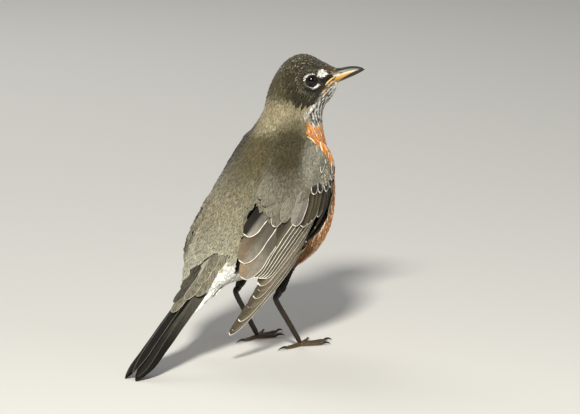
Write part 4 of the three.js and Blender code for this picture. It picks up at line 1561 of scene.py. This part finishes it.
def limb(name, points, radii, scutes=0, round_steps=16, long_steps=48, flat=1.0, pads=0):
    """A limb swept along points: scutes are shields across its upper side, pads are cushions below."""
    piece, along, angle = ball(name, round_steps, long_steps)
    line = curve_through(points, along)
    way = unit(curve_through(points, along + 0.01) - curve_through(points, along - 0.01))
    side = unit(np.array([0, 1.0, 0]) - way * way[:, 1:2])
    over = np.cross(way, side)
    over = over * np.where(over[:, 2:3] < 0, -1, 1)
    radius = np.interp(along, np.linspace(0, 1, len(radii)), radii)
    end = np.sqrt(np.maximum(0, 1 - (2 * along - 1) ** 10))
    upper = np.clip(np.sin(angle), 0, 1)
    shield = ((along * scutes) % 1) if scutes else 0 * along
    radius = radius * (1 + 0.07 * upper * (shield - 0.4) * (scutes > 0))
    cushion = np.clip(-np.sin(angle), 0, 1) * np.cos(2 * np.pi * pads * along)
    radius = radius * (1 + 0.10 * cushion * (pads > 0))
    beside, above = radius * end * np.cos(angle) * flat, radius * end * np.sin(angle)
    places = line + beside[:, None] * side + above[:, None] * over
    places[:, 2] = np.maximum(places[:, 2], FLOOR)
    return piece, places, along, angle


def scute_shade(along, count):
    """Lighter on each scale, darker between two of them."""
    return mix(0.75, 1.15, np.abs(np.cos(np.pi * count * along)) ** 0.5)[:, None]


def make_leg(name, side, scale_material, claw_material):
    heel, root = leg_place(side, HEEL), leg_place(side, TOE_ROOT)
    line = [heel + THIGH_WAY * 10, heel + THIGH_WAY * 4.5, heel + [-0.3, 0, 0.2], mix(heel, root, 0.5),
            root + [1, 0, -0.9]]
    radii = [2.9, 2.7, 2.4, 2.15, 1.9, 1.8, 1.8, 1.8, 2.2]
    piece, places, along, _ = limb(f"tarsus_{name}", line, radii, scutes=18, round_steps=18, long_steps=120,
                                   flat=0.86)
    # Above the heel the leg is painted black, as shade under the belly and thigh feathers.
    tint = mix(SHANK * scute_shade(along, 9), BLACK, ramp(0.5, 0.42, along)[:, None])
    complete(piece, places, tint, scale_material, ["shank_" + name])
    for toe, (splay, length, claw) in TOES.items():
        heading = math.radians(side * (splay + FOOT_TURN))
        make_toe(f"{name}_{toe}", root, heading, length, claw, scale_material, claw_material)


def make_toe(name, root, heading, length, claw, scale_material, claw_material):
    def out(distance, height):
        x, y = root[:2] + distance * np.array([math.cos(heading), math.sin(heading)])
        return np.array([x, y, FLOOR + height])

    line = [out(0, 1.7), out(length * 0.25, 1.35), out(length * 0.6, 1.05), out(length, 0.95)]
    radii = [1.6, 1.5, 1.3, 1.45, 1.25, 1.35, 1.1]
    scutes = int(length / 1.6)
    piece, places, along, angle = limb("toe_pads_" + name, line, radii, scutes, round_steps=18,
                                       long_steps=70, pads=3)
    under = np.clip(-np.sin(angle), 0, 1)[:, None]
    tint = mix(TOE * scute_shade(along, scutes), SOLE, 0.7 * under)
    complete(piece, places, tint, scale_material, ["toe_" + name])
    line = [out(length - 1.6, 1.1), out(length + claw * 0.3, 1.75), out(length + claw * 0.72, 1.3),
            out(length + claw, 0.25)]
    radii = [0.85, 0.9, 0.62, 0.32, 0.06]
    piece, places, along, _ = limb("horn_claw_" + name, line, radii, round_steps=12, long_steps=24,
                                   flat=0.75)
    tint = mix(CLAW * 1.8, CLAW, ramp(0, 0.5, along)[:, None])
    complete(piece, places, tint, claw_material, ["claw_" + name])


# ---------- the stage ----------

VIEW_SPOT = np.array([0.0, 0.0, 94.0])
VIEW_OFFSET = (12.35, 4.55)  # how far right of and below that place the camera aims
VIEW_WIDTH = 377.0
VIEW_AZIMUTH = math.radians(-45)
VIEW_ELEVATION = math.radians(12)
LENS = 250.0
SENSOR = 36.0


def make_camera():
    a, e = VIEW_AZIMUTH, VIEW_ELEVATION
    back = np.array([math.sin(a) * math.cos(e), -math.cos(a) * math.cos(e), math.sin(e)])
    right = np.array([math.cos(a), math.sin(a), 0.0])
    up = np.cross(back, right)
    target = VIEW_SPOT + ORIGIN + right * VIEW_OFFSET[0] - up * VIEW_OFFSET[1]
    distance = LENS / SENSOR * VIEW_WIDTH
    bpy.ops.object.camera_add(location=Vector((target + back * distance) * MM))
    camera = bpy.context.object
    camera.rotation_euler = Vector(-back).to_track_quat("-Z", "Y").to_euler()
    camera.data.lens, camera.data.sensor_width = LENS, SENSOR
    camera.data.clip_end = 100
    bpy.context.scene.camera = camera


def area_light(name, place, aim, size, power, colour=(1, 1, 1)):
    place, aim = Vector(place), Vector(aim)
    bpy.ops.object.light_add(type="AREA", location=place)
    light = bpy.context.object
    light.name = name
    light.rotation_euler = (aim - place).to_track_quat("-Z", "Y").to_euler()
    light.data.shape = "DISK"
    light.data.size, light.data.energy, light.data.color = size, power, colour


def make_stage():
    floor = add_shape(bpy.ops.mesh.primitive_plane_add, "floor", size=40)
    material = new_material("pale_floor", 0.9, 0.1, Base_Color=(0.62, 0.61, 0.58, 1))[0]
    floor.data.materials.append(material)
    aim = (0.03, 0, 0.1)
    area_light("key", (-1.1, -0.85, 1.38), aim, size=0.3, power=50, colour=(1, 0.97, 0.9))
    area_light("fill", (0.6, -1.4, 0.7), aim, size=1.2, power=3, colour=(0.9, 0.95, 1))
    area_light("back", (0.5, 1.3, 1.2), aim, size=1.0, power=10)
    world = bpy.data.worlds.new("studio")
    world.use_nodes = True
    background = world.node_tree.nodes["Background"].inputs
    background["Color"].default_value, background["Strength"].default_value = (0.78, 0.8, 0.82, 1), 0.22
    bpy.context.scene.world = world
    bpy.context.scene.view_settings.view_transform = "Standard"


# ---------- the bird ----------

make_camera()
make_stage()
soft_vane = {"Barbs": 1.3, "Streak": 0.34, "Shaft": 0.14, "Frayed": 0.35}
# The quills carry a painted shadow 0.3 mm wide along their edges.
stiff_vane = {"Barbs": 1.4, "Streak": 0.12, "Shaft": 0.3, "Frayed": 0.03, "EdgeShadow": 0.3}
# Each finish: roughness, specular level, the unevenness' scale and amount, and the relief's strength.
plumage = new_finish("plumage", 0.85, 0.12, 90.0, 0.22, 0.5, soft_vane, Sheen_Weight=0.08,
                     Sheen_Roughness=0.6)
quills = new_finish("quill_vanes", 0.65, 0.12, 120.0, 0.3, 0.08, stiff_vane)
down = new_finish("down", 0.9, 0.1, 900.0, 0.35, 0.5)
horn = new_finish("horn", 0.32, 0.5, 1500.0, 0.12, 0.1)
scales = new_finish("leg_scale", 0.5, 0.4, 1800.0, 0.3, 0.3)
wet = new_finish("wet_eye", 0.05, 0.15, 400.0, 0.1, 0.0, Coat_Weight=0.35, Coat_Roughness=0.02)
bare_skin = new_finish("bare_skin", 0.6, 0.4, 2500.0, 0.3, 0.3)

make_skin(down)
dress_form = make_form()
draping = Ground(dress_form)
bpy.data.objects.remove(dress_form)
make_coat(draping, plumage)
make_wings(quills, plumage)
make_tail(quills, plumage, draping)
make_bill(horn)
make_gape(draping, bare_skin)
make_eyes(wet, bare_skin)
make_bristles(bare_skin)
for side_name, side_sign in SIDES.items():
    make_leg(side_name, side_sign, scales, horn)
